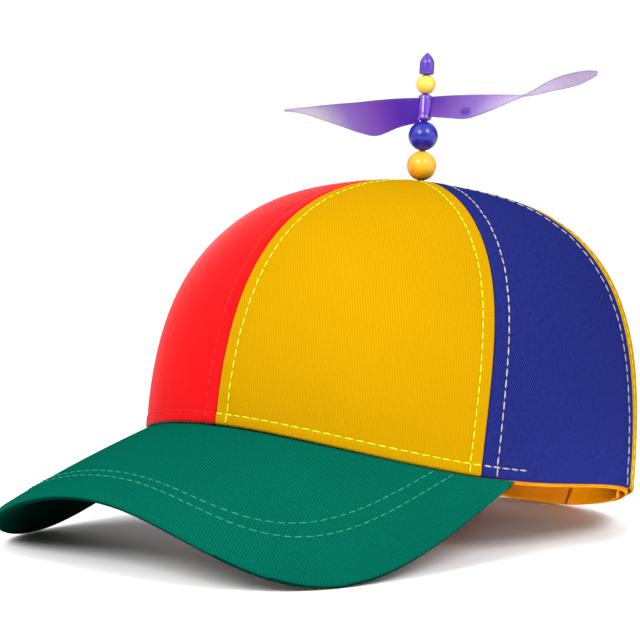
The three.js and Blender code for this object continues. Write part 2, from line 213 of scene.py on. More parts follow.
@dataclass(frozen=True)
class TwillFinish:
    """Cotton twill: slanting ribs with short grains, flecks of fibre and an uneven dye."""

    name: str
    light: Colour
    dark: Colour
    rib_angle: float = 0.0
    pitch: float = 0.9 * MM
    ribs: float = 0.5
    grains: float = 0.15
    fleck: float = 1500.0
    relief: float = 0.3
    sheen: float = 0.0
    glow: float = 0.0
    dye_lumps: float = 24.0
    dye_change: float = 0.14
    relief_depth: float = 0.3 * MM

    def material(self) -> bpy.types.Material:
        """Makes the node material.

        Returns:
            A material that reads the piece's own weave map, in metres.
        """
        shader = Shader(self.name)
        cloth = shader.node("ShaderNodeUVMap", uv_map=WEAVE)
        turned = shader.node("ShaderNodeMapping")
        turned.inputs["Rotation"].default_value = (0.0, 0.0, math.radians(self.rib_angle))
        shader.join(cloth.outputs["UV"], turned.inputs["Vector"])
        ribs = self._wave(shader, turned, Bands.RIBS, self.pitch, 0.7)
        grains = self._wave(shader, turned, Bands.GRAINS, self.pitch * 0.75, 3.0)
        fibres = self._noise(shader, turned, self.fleck, 3.0)
        dye = self._noise(shader, turned, self.dye_lumps, 4.0)
        ribbed = shader.math("MULTIPLY", ribs, self.ribs)
        weave = shader.math("MULTIPLY_ADD", grains, self.grains, ribbed)
        rest = 1.0 - self.ribs - self.grains
        tone = shader.math("MULTIPLY_ADD", fibres, rest, weave)
        colour = shader.ramp(tone, [(0.15, self.dark), (0.85, self.light)])
        worn = shader.node("ShaderNodeHueSaturation")
        strength = shader.math("MULTIPLY_ADD", dye, self.dye_change, 1.0 - self.dye_change / 2.0)
        shader.join(strength, worn.inputs["Value"])
        shader.join(colour, worn.inputs["Color"])
        shader.join(worn.outputs["Color"], shader.surface.inputs["Base Color"])
        bump = shader.node("ShaderNodeBump", strength=self.relief, distance=self.relief_depth)
        shader.join(tone, bump.inputs["Height"])
        shader.join(bump.outputs["Normal"], shader.surface.inputs["Normal"])
        shader.set(roughness=1.0, specular_ior_level=0.0)
        shader.set(sheen_weight=self.sheen, sheen_roughness=0.3)
        if self.glow:
            shader.set(subsurface_weight=self.glow, subsurface_scale=3.0 * MM)
            shader.set(subsurface_radius=(1.0, 0.35, 0.05))
        return shader.material

    def _wave(
        self, shader: Shader, place: bpy.types.Node, way: Bands, pitch: float, wobble: float
    ) -> bpy.types.NodeSocket:
        """Adds bands of a real pitch.

        Args:
            shader: the shader that gets the node.
            place: the mapping that the bands read.
            way: the direction of the bands.
            pitch: the width of one band, in metres.
            wobble: how uneven the bands are.

        Returns:
            The bands' factor socket.
        """
        bands_to_a_metre = math.pi / 10.0 / pitch
        wave = shader.node("ShaderNodeTexWave", bands_direction=way.value, scale=bands_to_a_metre)
        wave.inputs["Distortion"].default_value = wobble
        wave.inputs["Detail"].default_value = 1.5
        wave.inputs["Detail Scale"].default_value = 0.35
        shader.join(place.outputs["Vector"], wave.inputs["Vector"])
        return wave.outputs["Fac"]

    def _noise(
        self, shader: Shader, place: bpy.types.Node, scale: float, detail: float
    ) -> bpy.types.NodeSocket:
        """Adds noise.

        Args:
            shader: the shader that gets the node.
            place: the mapping that the noise reads.
            scale: lumps to a metre.
            detail: how many finer layers there are.

        Returns:
            The noise's factor socket.
        """
        made = shader.node("ShaderNodeTexNoise", scale=scale, detail=detail)
        shader.join(place.outputs["Vector"], made.inputs["Vector"])
        return made.outputs["Fac"]


@dataclass(frozen=True)
class ThreadFinish:
    """Sewing thread: a soft gloss and fine turns of the yarn."""

    name: str
    light: Colour
    dark: Colour
    yarn_lumps: float = 1400.0

    def material(self) -> bpy.types.Material:
        """Makes the node material.

        Returns:
            A material that reads object coordinates.
        """
        shader = Shader(self.name)
        place = shader.node("ShaderNodeTexCoord")
        yarn = shader.node("ShaderNodeTexNoise", scale=self.yarn_lumps, detail=2.0)
        shader.join(place.outputs["Object"], yarn.inputs["Vector"])
        colour = shader.ramp(yarn.outputs["Fac"], [(0.3, self.dark), (0.65, self.light)])
        shader.join(colour, shader.surface.inputs["Base Color"])
        bump = shader.node("ShaderNodeBump", strength=0.35, distance=0.1 * MM)
        shader.join(yarn.outputs["Fac"], bump.inputs["Height"])
        shader.join(bump.outputs["Normal"], shader.surface.inputs["Normal"])
        shader.set(roughness=0.6, specular_ior_level=0.08)
        return shader.material


@dataclass(frozen=True)
class LacquerFinish:
    """Glossy lacquer or moulded plastic with a faint unevenness."""

    name: str
    light: Colour
    dark: Colour
    roughness: float = 0.4
    coat: float = 0.3
    flow_lumps: float = 260.0
    ripple_lumps: float = 700.0
    gloss_change: float = 0.08

    def material(self) -> bpy.types.Material:
        """Makes the node material.

        Returns:
            A material that reads object coordinates.
        """
        shader = Shader(self.name)
        place = shader.node("ShaderNodeTexCoord")
        flow = shader.node("ShaderNodeTexNoise", scale=self.flow_lumps, detail=3.0)
        ripple = shader.node("ShaderNodeTexNoise", scale=self.ripple_lumps, detail=1.0)
        for made in (flow, ripple):
            shader.join(place.outputs["Object"], made.inputs["Vector"])
        colour = shader.ramp(flow.outputs["Fac"], [(0.3, self.dark), (0.62, self.light)])
        shader.join(colour, shader.surface.inputs["Base Color"])
        bump = shader.node("ShaderNodeBump", strength=0.06, distance=0.2 * MM)
        shader.join(ripple.outputs["Fac"], bump.inputs["Height"])
        shader.join(bump.outputs["Normal"], shader.surface.inputs["Normal"])
        smoothest = self.roughness - self.gloss_change / 2.0
        gloss = shader.math("MULTIPLY_ADD", flow.outputs["Fac"], self.gloss_change, smoothest)
        shader.join(gloss, shader.surface.inputs["Roughness"])
        shader.set(specular_ior_level=0.3, coat_weight=self.coat, coat_roughness=0.06)
        return shader.material


@dataclass(frozen=True)
class TintedFinish:
    """Thin clear plastic whose violet tint is deep at the hub and fades out along the blades."""

    name: str = "tinted_plastic"
    stops: tuple[tuple[float, Colour], ...] = (
        (0.07, (0.055, 0.005, 0.33)),
        (0.174, (0.13, 0.03, 0.35)),
        (0.395, (0.25, 0.147, 0.48)),
        (0.61, (0.588, 0.546, 0.58)),
        (0.70, (0.63, 0.60, 0.56)),
        (0.84, (0.61, 0.52, 0.61)),
        (0.99, (0.50, 0.40, 0.52)),
    )
    veil: Colour = (0.45, 0.25, 0.80)
    edge: Colour = (0.10, 0.05, 0.22)
    gate: Colour = (0.30, 0.20, 0.65)
    length: float = 60.0 * MM
    level_blade_shift: float = -9.5 * MM
    lower_edge_fade: float = 5.0 * MM
    gate_place: tuple[float, float] = (15.5 * MM, 0.30)
    gate_size: tuple[float, float] = (2.4 * MM, 0.17)
    cloud_lumps: float = 90.0
    cloud_shift: float = 4.0 * MM
    edge_share: float = 0.6

    def material(self) -> bpy.types.Material:
        """Makes the node material.

        Returns:
            A material that reads the propeller's own map: reach in metres, and share of the width.
        """
        shader = Shader(self.name)
        blade = shader.node("ShaderNodeUVMap", uv_map=WEAVE)
        parts = shader.node("ShaderNodeSeparateXYZ")
        shader.join(blade.outputs["UV"], parts.inputs["Vector"])
        reach, share = parts.outputs["X"], parts.outputs["Y"]
        level = shader.math("LESS_THAN", reach, 0.0)
        distance = shader.math("ABSOLUTE", reach)
        shifted = shader.math("MULTIPLY_ADD", level, self.level_blade_shift, distance)
        lower = shader.math("SUBTRACT", 1.0, share)
        faded = shader.math("MULTIPLY_ADD", lower, self.lower_edge_fade, shifted)
        cloud = shader.node("ShaderNodeTexNoise", scale=self.cloud_lumps, detail=2.0)
        shader.join(blade.outputs["UV"], cloud.inputs["Vector"])
        uneven = shader.math("MULTIPLY_ADD", cloud.outputs["Fac"], self.cloud_shift, faded)
        tint = shader.ramp(shader.math("DIVIDE", uneven, self.length), list(self.stops))
        across = shader.math("MULTIPLY_ADD", share, 2.0, -1.0)
        rim = shader.math("POWER", shader.math("ABSOLUTE", across), 12.0)
        lined = self._blend(shader, Blend.COVER, shader.math("MULTIPLY", rim, self.edge_share), tint)
        lined.inputs["B"].default_value = (*self.edge, 1.0)
        marked = self._blend(shader, Blend.DARKEN, None, lined.outputs["Result"])
        shader.join(self._gate(shader, reach, share), marked.inputs["B"])
        shader.join(marked.outputs["Result"], shader.surface.inputs["Base Color"])
        shader.set(roughness=0.05, transmission_weight=1.0, ior=1.0)
        shader.set(coat_weight=0.15, coat_roughness=0.3)
        shader.set(sheen_weight=0.25, sheen_roughness=0.8, sheen_tint=(*self.veil, 1.0))
        return shader.material

    def _blend(
        self,
        shader: Shader,
        how: Blend,
        factor: bpy.types.NodeSocket | None,
        colour: bpy.types.NodeSocket,
    ) -> bpy.types.Node:
        """Adds a colour mix whose second colour is still to be given.

        Args:
            shader: the shader that gets the node.
            how: the way of mixing.
            factor: the share of the second colour, or None for all of it.
            colour: the first colour.

        Returns:
            The mix node.
        """
        made = shader.node("ShaderNodeMix", data_type="RGBA", blend_type=how.value)
        if factor is None:
            made.inputs["Factor"].default_value = 1.0
        else:
            shader.join(factor, made.inputs["Factor"])
        shader.join(colour, made.inputs["A"])
        return made

    def _gate(
        self, shader: Shader, reach: bpy.types.NodeSocket, share: bpy.types.NodeSocket
    ) -> bpy.types.NodeSocket:
        """Adds the darker round mark that the moulding leaves near the root of one blade.

        Args:
            shader: the shader that gets the nodes.
            reach: the distance from the hub.
            share: the share of the blade's width.

        Returns:
            The mark's colour socket, white around it.
        """
        squares = []
        for value, middle, size in zip((reach, share), self.gate_place, self.gate_size):
            off = shader.math("MULTIPLY_ADD", value, 1.0 / size, -middle / size)
            squares.append(shader.math("MULTIPLY", off, off))
        away = shader.math("ADD", *squares)
        return shader.ramp(away, [(0.55, self.gate), (0.95, (1.0, 1.0, 1.0))])


@dataclass(frozen=True)
class FloorFinish:
    """A plain white studio floor with a very slight gloss."""

    name: str = "studio_floor"

    def material(self) -> bpy.types.Material:
        """Makes the node material.

        Returns:
            A material that reads object coordinates.
        """
        shader = Shader(self.name)
        place = shader.node("ShaderNodeTexCoord")
        tone = shader.node("ShaderNodeTexNoise", scale=3.0, detail=2.0)
        shader.join(place.outputs["Object"], tone.inputs["Vector"])
        colour = shader.ramp(tone.outputs["Fac"], [(0.3, (0.93,) * 3), (0.7, (0.95,) * 3)])
        shader.join(colour, shader.surface.inputs["Base Color"])
        shader.set(roughness=0.4, specular_ior_level=0.3)
        return shader.material


# Mesh helpers

def lay_grid(
    bm: bmesh.types.BMesh, columns: int, rows: int, place: Callable[[int, int], Placed]
) -> None:
    """Adds a grid and lays each of its points on a surface.

    Args:
        bm: the mesh that gets the grid.
        columns: points across.
        rows: points up.
        place: gives the point and its place in the weave map for a column and a row.
    """
    made = bmesh.ops.create_grid(bm, x_segments=columns - 1, y_segments=rows - 1, size=1.0)
    layer = bm.loops.layers.uv.get(WEAVE) or bm.loops.layers.uv.new(WEAVE)
    for vert in made["verts"]:
        column = round((vert.co.x + 1.0) / 2.0 * (columns - 1))
        row = round((vert.co.y + 1.0) / 2.0 * (rows - 1))
        vert.co, cut = place(column, row)
        for loop in vert.link_loops:
            loop[layer].uv = cut


def close_loft(bm: bmesh.types.BMesh) -> None:
    """Welds a loft along its length and closes its two ends.

    Args:
        bm: the mesh, a grid whose first and last rows coincide.
    """
    bmesh.ops.remove_doubles(bm, verts=bm.verts, dist=0.002 * MM)
    ends = [edge for edge in bm.edges if edge.is_boundary]
    bmesh.ops.holes_fill(bm, edges=ends, sides=0)
    bmesh.ops.recalc_face_normals(bm, faces=bm.faces)


def make_object(
    name: str, bm: bmesh.types.BMesh, material: bpy.types.Material, body: Body
) -> bpy.types.Object:
    """Turns a finished bmesh into an object that rides on a CAD body.

    Args:
        name: the piece's name.
        bm: its mesh, in the row frame. It is freed.
        material: its material.
        body: the body that carries it.

    Returns:
        The new object.
    """
    for face in bm.faces:
        face.smooth = True
    mesh = bpy.data.meshes.new(name)
    bm.to_mesh(mesh)
    bm.free()
    mesh.materials.append(material)
    made = bpy.data.objects.new(name, mesh)
    bpy.context.scene.collection.objects.link(made)
    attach(made, body.value)
    LOG.info("%s: %d faces", name, len(mesh.polygons))
    return made


def face_with(
    piece: bpy.types.Object,
    material: bpy.types.Material,
    chosen: Callable[[bpy.types.MeshPolygon], bool],
) -> None:
    """Gives some faces of a piece a second material.

    Args:
        piece: the piece.
        material: the second material.
        chosen: tells which faces get it.
    """
    piece.data.materials.append(material)
    for face in piece.data.polygons:
        if chosen(face):
            face.material_index = 1


# The crown's shape

@dataclass(frozen=True)
class Wave:
    """A value that changes round the crown, as a short row of cosines."""

    mean: float
    front: float = 0.0
    sides: float = 0.0
    waves: float = 0.0

    def at(self, angle: float) -> float:
        """The value at an angle from the front."""
        swing = self.front * math.cos(angle) + self.sides * math.cos(2.0 * angle)
        return self.mean + swing + self.waves * math.cos(3.0 * angle)


@dataclass(frozen=True)
class Seam:
    """A seam from the rim to the top: its place at the rim and its bow to the back, in degrees."""

    angle: float
    bow: float = 0.0

    def at(self, share: float) -> float:
        """The seam's angle at a share of its height, in radians."""
        return math.radians(self.angle + self.bow * math.sin(math.pi * share))


@dataclass(frozen=True)
class CrownForm:
    """The outer shape of the crown. Angles run from the front towards +X."""

    rim_level: Wave = Wave(23.1 * MM, 18.1 * MM, -0.7 * MM, 3.4 * MM)
    widest_level: Wave = Wave(25.2 * MM, -13.5 * MM)
    roundness: Wave = Wave(2.64, 0.19)
    top_slope: Wave = Wave(0.103, -0.121)
    half_width: float = 83.2 * MM
    front_reach: float = 97.0 * MM
    back_reach: float = 98.8 * MM
    plan_power: float = 2.13
    top: float = 128.4 * MM
    setback: float = 12.3 * MM
    lower_taper: float = 0.3
    hole_radius: float = 1.9 * MM
    origin: float = 28.7347 * MM
    opening_half_angle: float = 22.0
    opening_top: float = 50.0 * MM

    def plan_reach(self, angle: float) -> float:
        """How far the widest line lies from the middle.

        Args:
            angle: the angle round the crown.

        Returns:
            The distance.
        """
        depth = self.front_reach if math.cos(angle) > 0.0 else self.back_reach
        across = abs(math.sin(angle) / self.half_width) ** self.plan_power
        along = abs(math.cos(angle) / depth) ** self.plan_power
        return (across + along) ** (-1.0 / self.plan_power)

    def point(self, angle: float, climb: float) -> Vector:
        """A point of the outer face.

        Args:
            angle: the angle round the crown.
            climb: the angle up from the widest line, negative under it.

        Returns:
            The point in the row frame.
        """
        power = 2.0 / self.roundness.at(angle)
        widest = self.widest_level.at(angle)
        span = self.top - widest
        if climb > 0.0:
            share = math.cos(climb) ** power
            sag = self.top_slope.at(angle) * share * (1.0 - share) ** 2
            level = widest + span * (math.sin(climb) ** power - sag)
        else:
            share = 1.0 - self.lower_taper * climb * climb
            level = widest + span * climb
        reach = self.plan_reach(angle) * share
        behind = self.setback * (1.0 - share) - reach * math.cos(angle)
        return Vector((reach * math.sin(angle), behind + self.origin, level))

    def climb_at(self, angle: float, level: float) -> float:
        """The climb at which the crown reaches a level.

        Args:
            angle: the angle round the crown.
            level: the height.

        Returns:
            The climb, negative under the widest line.
        """
        widest = self.widest_level.at(angle)
        share = (level - widest) / (self.top - widest)
        return math.asin(share ** (self.roundness.at(angle) / 2.0)) if share > 0.0 else share

    def top_climb(self, angle: float) -> float:
        """The climb at the edge of the post's hole."""
        share = self.hole_radius / self.plan_reach(angle)
        return math.acos(share ** (self.roundness.at(angle) / 2.0))

    def normal(self, angle: float, climb: float) -> Vector:
        """The direction straight out of the crown.

        Args:
            angle: the angle round the crown.
            climb: the angle up from the widest line.

        Returns:
            The direction, of length 1.
        """
        step = 1e-4
        across = self.point(angle + step, climb) - self.point(angle - step, climb)
        up = self.point(angle, climb + step) - self.point(angle, climb - step)
        return across.cross(up).normalized()

    def rim(self, angle: float) -> Vector:
        """The point of the rim at an angle."""
        return self.point(angle, self.climb_at(angle, self.rim_level.at(angle)))

    def hem_level(self, angle: float) -> float:
        """The level of the panels' lower edge, which rises over the opening at the back.

        Args:
            angle: the angle round the crown.

        Returns:
            The level.
        """
        half = math.radians(self.opening_half_angle)
        from_back = math.pi - abs(angle)
        if from_back >= half:
            return self.rim_level.at(angle)
        rise = math.sqrt(max(0.0, 1.0 - (from_back / half) ** 2))
        return mix(self.rim_level.at(math.pi - half), self.opening_top, rise)

    def inner(self, angle: float, level: float, depth: float) -> Vector:
        """A point inside the crown.

        Args:
            angle: the angle round the crown.
            level: its height.
            depth: how far it lies in from the outer face, measured level.

        Returns:
            The point in the row frame.
        """
        climb = self.climb_at(angle, level)
        out = self.normal(angle, climb)
        flat = Vector((out.x, out.y, 0.0))
        return self.point(angle, climb) - flat * (depth / max(flat.length_squared, 0.04))


# Stitching

@dataclass
class StitchRows:
    """Rows of machine stitches that lie on a surface, in one mesh."""

    name: str
    thread: bpy.types.Material
    length: float = 3.0 * MM
    gap: float = 0.75 * MM
    width: float = 0.6 * MM
    height: float = 0.44 * MM
    seed: int = 3
    bm: bmesh.types.BMesh = field(default_factory=bmesh.new)

    def add(self, points: list[Vector], normals: list[Vector]) -> None:
        """Sews along a line.

        Args:
            points: close points of the line, on the surface.
            normals: the directions out of the surface there.
        """
        chance = random.Random(self.seed)
        along = [0.0]
        for a, b in zip(points, points[1:]):
            along.append(along[-1] + (b - a).length)
        place = self.length * 0.55
        while place + self.length * 0.5 < along[-1]:
            self._stitch(points, normals, along, place, chance)
            place += self.length + self.gap

    def _stitch(
        self,
        points: list[Vector],
        normals: list[Vector],
        along: list[float],
        place: float,
        chance: random.Random,
    ) -> None:
        """Adds one stitch.

        Args:
            points: the line's points.
            normals: the directions out of the surface.
            along: how far each point lies along the line.
            place: the stitch's middle along the line.
            chance: the source of small unevenness.
        """
        half = self.length * 0.5
        start, end = (self._at(points, along, place + side * half) for side in (-1.0, 1.0))
        middle = self._at(points, along, place)
        out = normals[min(len(normals) - 1, bisect.bisect_left(along, place))]
        run = (end - start).normalized()
        side = out.cross(run).normalized()
        run = (run + side * chance.uniform(-0.06, 0.06)).normalized()
        side = out.cross(run).normalized()
        lift = run.cross(side).normalized()
        swell = chance.uniform(0.9, 1.1)
        turn = Matrix((side, lift, run)).transposed().to_4x4()
        size = Matrix.Diagonal((self.width * 0.5 * swell, self.height * 0.5, half * 1.02, 1.0))
        shift = Matrix.Translation(middle + out * (self.height * 0.18))
        form = shift @ turn @ size
        bmesh.ops.create_uvsphere(self.bm, u_segments=8, v_segments=7, radius=1.0, matrix=form)

    def _at(self, points: list[Vector], along: list[float], place: float) -> Vector:
        """The point at a length along a line."""
        i = min(len(along) - 2, max(0, bisect.bisect_right(along, place) - 1))
        return points[i].lerp(points[i + 1], (place - along[i]) / max(along[i + 1] - along[i], 1e-9))

    def finish(self) -> bpy.types.Object:
        """The rows as one object that rides on the cap."""
        return make_object(self.name, self.bm, self.thread, Body.CAP)


# Crown panels

@dataclass
class CrownPanel:
    """One panel of the crown: a cut of twill with rolled seams, a folded hem and rows of stitches."""

    name: str
    slot: Slot
    start: Seam
    end: Seam
    cloth: bpy.types.Material
    thread: bpy.types.Material
    crown: CrownForm = CrownForm()
    thickness: float = 1.5 * MM
    inset: float = 5.0 * MM
    hem_inset: float = 3.8 * MM
    pucker: float = 0.10 * MM
    hem_row_limit: float = 72.0
    roll: float = 1.0 * MM
    edge: float = 8.0 * MM
    inner_columns: int = 26
    rows: int = 64
    fold_height: float = 0.24 * MM
    groove_depth: float = 0.2 * MM
    groove_width: float = 0.55 * MM
    softness: float = 0.25 * MM
    kept_length: float = field(default=0.0, init=False)
    heights: list[list[float]] = field(default_factory=list, init=False)
    shares: list[float] = field(default_factory=list, init=False)
    widths: list[float] = field(default_factory=list, init=False)

    EDGE_STEPS = (
        *(0.0, 0.06, 0.2, 0.45, 0.75, 1.0, 1.6, 2.4, 3.1, 3.5),
        *(3.8, 4.1, 4.6, 5.0, 5.4, 5.8, 6.2, 7.0, 8.0),
    )
    HEIGHT_COLUMNS = 21
    HEIGHT_STEPS = 81

    def build(self) -> bpy.types.Object:
        """Returns:
            The panel.
        """
        self.heights = [self._heights(across) for across in spaced(0.0, 1.0, self.HEIGHT_COLUMNS)]
        self.shares = self._row_shares()
        self.widths = [self._width(share) for share in self.shares]
        columns = self._columns()
        bm = bmesh.new()
        rows = len(self.shares)
        lay_grid(bm, len(columns), rows, lambda i, j: self._lay(columns[i], self.shares[j]))
        panel = make_object(self.name, bm, self.cloth, Body.CAP)
        wall = panel.modifiers.new("wall", "SOLIDIFY")
        wall.thickness = self.thickness
        wall.offset = -1.0
        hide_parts(self.name)
        sewn = self._sew()
        flat = (max(self.widths), self.length())
        cut = self._area()
        LOG.info("%s: cut %.3f by %.3f m", self.name, *flat)
        return panel

    def length(self) -> float:
        """The panel's length from its hem to the top along its middle line."""
        return length_of([self._spot(0.5, share)[0] for share in spaced(0.0, 1.0, 60)])

    def _area(self) -> float:
        """The panel's flat area, from its widths at even heights."""
        widths = [self._width(share) for share in spaced(0.0, 1.0, 30)]
        return sum(widths) / len(widths) * self.length()

    def _row_shares(self) -> list[float]:
        """Spaces the rows.

        Returns:
            Their shares of the height, close together near the hem.
        """
        length = self.length()
        near = [step * MM / length for step in self.EDGE_STEPS]
        return near + spaced(near[-1], 1.0, self.rows)[1:]

    def _width(self, share: float) -> float:
        """The panel's width at a share of its height."""
        return length_of([self._spot(across, share)[0] for across in spaced(0.0, 1.0, 13)])

    def _columns(self) -> list[float]:
        """Spaces the columns.

        Returns:
            Their distances from the first seam at the hem, close together near both seams.
        """
        full = self.widths[0]
        near = [step * MM for step in self.EDGE_STEPS]
        inside = spaced(near[-1], full - near[-1], self.inner_columns)[1:-1]
        limit = math.pi - math.radians(self.crown.opening_half_angle)
        edges = sorted((abs(math.radians(self.start.angle)), abs(math.radians(self.end.angle))))
        if edges[1] > limit + 0.01:
            inside = self._arch_columns(full, limit, edges) + inside
        found = sorted(near + inside + [full - x for x in near])
        kept = [found[0]]
        for x in found[1:]:
            if x - kept[-1] > 0.04 * MM:
                kept.append(x)
        kept[-1] = full
        return kept

    def _arch_columns(self, full: float, limit: float, edges: list[float]) -> list[float]:
        """Columns that follow the round edge over the opening.

        Args:
            full: the panel's width at the hem.
            limit: the angle at which the opening starts.
            edges: the angles of the panel's two seams, without their signs.

        Returns:
            Distances from the first seam.
        """
        half = math.pi - limit
        made = []
        for turn in spaced(0.0, math.pi / 2.0, 26)[:-2]:
            angle = math.pi - half * math.cos(turn)
            share = (angle - edges[0]) / (edges[1] - edges[0])
            made.append(full * (share if self.end.angle > 0.0 else 1.0 - share))
        return made

    def _climbed(self, across: float, part: float) -> tuple[Vector, float, float]:
        """A plain point of the panel, found by its climb.

        Args:
            across: the share of the way from the first seam to the second.
            part: the part of the climb from the hem to the top.

        Returns:
            The point, its angle and its climb.
        """
        angle = mix(self.start.at(part), self.end.at(part), across)
        foot = math.radians(mix(self.start.angle, self.end.angle, across))
        low = self.crown.climb_at(foot, self.crown.hem_level(foot))
        climb = mix(low, self.crown.top_climb(foot), part)
        return self.crown.point(angle, climb), angle, climb

    def _heights(self, across: float) -> list[float]:
        """Measures the cloth up a line of the panel.

        Args:
            across: the share of the way from the first seam to the second.

        Returns:
            The share of the cloth's length that lies under each even step of the climb.
        """
        points = [self._climbed(across, part)[0] for part in spaced(0.0, 1.0, self.HEIGHT_STEPS)]
        sums = [0.0]
        for a, b in zip(points, points[1:]):
            sums.append(sums[-1] + (b - a).length)
        return [total / sums[-1] for total in sums]

    def _part(self, heights: list[float], share: float) -> float:
        """The part of the climb at which a share of the cloth's length is reached."""
        i = min(len(heights) - 2, max(0, bisect.bisect_right(heights, share) - 1))
        return (i + (share - heights[i]) / (heights[i + 1] - heights[i])) / (len(heights) - 1)

    def _spot(self, across: float, share: float) -> tuple[Vector, float, float]:
        """A plain point of the panel, found by the cloth's length.

        Args:
            across: the share of the way from the first seam to the second.
            share: the share of the cloth's length from the hem.

        Returns:
            The point, its angle and its climb.
        """
        at = across * (self.HEIGHT_COLUMNS - 1)
        i = min(self.HEIGHT_COLUMNS - 2, max(0, int(at)))
        low, high = (self._part(self.heights[k], share) for k in (i, i + 1))
        return self._climbed(across, mix(low, high, at - i))

    def _slide(self, distance: float, share: float) -> tuple[float, float, float]:
        """Where a column lies at a height.

        Args:
            distance: the column's distance from the first seam at the hem.
            share: the share of the height.

        Returns:
            The share across, the scale of the edge strips there, and the panel's width there.
        """
        full = self.widths[0]
        width = self._width_at(share)
        scale = min(1.0, width / (2.5 * self.edge))
        strip = self.edge * scale
        if distance <= self.edge:
            x = distance * scale
        elif distance >= full - self.edge:
            x = width - (full - distance) * scale
        else:
            x = mix(strip, width - strip, (distance - self.edge) / (full - 2.0 * self.edge))
        return x / width, scale, width

    def _width_at(self, share: float) -> float:
        """The panel's width between its rows.

        Args:
            share: the share of the height.

        Returns:
            The width.
        """
        i = min(len(self.shares) - 2, max(0, bisect.bisect_right(self.shares, share) - 1))
        part = (share - self.shares[i]) / (self.shares[i + 1] - self.shares[i])
        return mix(self.widths[i], self.widths[i + 1], part)

    def _relief(self, seam: float, hem: float, across: float, scale: float) -> float:
        """How far the cloth stands out of the plain crown.

        Args:
            seam: the distance from the nearest seam.
            hem: the distance from the lower edge.
            across: the distance from the first seam.
            scale: the scale of the edge strips.

        Returns:
            The height, negative inwards.
        """
        height = 0.0
        for near, size, inset in ((seam, scale, self.inset), (hem, 1.0, self.hem_inset)):
            if near < self.roll:
                height -= (self.roll - math.sqrt(self.roll**2 - (self.roll - near) ** 2)) * size
            fold = smooth((inset + 0.6 * MM - near) / (0.8 * MM))
            height += self.fold_height * fold * size
            height -= self.groove_depth * bell(near - inset, self.groove_width) * size
        pull = bell(seam - self.inset, 4.0 * MM) * scale
        wave = noise.noise(Vector((hem / (6.0 * MM), self.start.angle, seam / (9.0 * MM))))
        tug = bell(hem - self.hem_inset, 5.0 * MM)
        ripple = noise.noise(Vector((across / (5.0 * MM), self.end.angle, hem / (11.0 * MM))))
        return height + self.pucker * 2.0 * (pull * wave + tug * ripple)

    def _place(self, distance: float, share: float) -> tuple[Vector, Vector]:
        """A point of the panel's outer face and the direction out of it.

        Args:
            distance: the distance from the first seam at the hem.
            share: the share of the height.

        Returns:
            The point and the direction.
        """
        across, scale, _ = self._slide(distance, share)
        spot, angle, climb = self._spot(across, share)
        along = share * self.length_kept()
        seam = min(distance, self.widths[0] - distance)
        out = self.crown.normal(angle, climb)
        soft = self.softness * noise.noise(spot * 28.0)
        return spot + out * (self._relief(seam, along, distance, scale) + soft * scale), out

    def length_kept(self) -> float:
        """The panel's length, worked out once.

        Returns:
            The length.
        """
        if not self.kept_length:
            self.kept_length = self.length()
        return self.kept_length

    def _lay(self, distance: float, share: float) -> Placed:
        """Lays a point of the panel.

        Args:
            distance: the distance from the first seam at the hem.
            share: the share of the height.

        Returns:
            The point and its place in the cut.
        """
        across, _, width = self._slide(distance, share)
        cut = ((across - 0.5) * width, share * self.length_kept())
        return self._place(distance, share)[0], cut

    def _sew(self) -> bpy.types.Object:
        """Sews a row along each seam, and one over the brim where the panel meets it.

        Returns:
            The stitches.
        """
        rows = StitchRows(self.name + "_stitches", self.thread)
        full = self.widths[0]
        for distance in (self.inset, full - self.inset):
            line = [self._place(distance, share) for share in spaced(0.004, 0.97, 220)]
            rows.add([p for p, _ in line], [n for _, n in line])
        share = self.hem_inset / self.length_kept()
        span = [x for x in spaced(0.4 * MM, full - 0.4 * MM, 200) if self._sewn_at(x / full)]
        if span:
            line = [self._place(x, share) for x in span]
            rows.add([p for p, _ in line], [n for _, n in line])
        return rows.finish()

    def _sewn_at(self, across: float) -> bool:
        """Whether the row over the brim runs at a share of the hem."""
        return abs(mix(self.start.angle, self.end.angle, across)) < self.hem_row_limit


# Brim

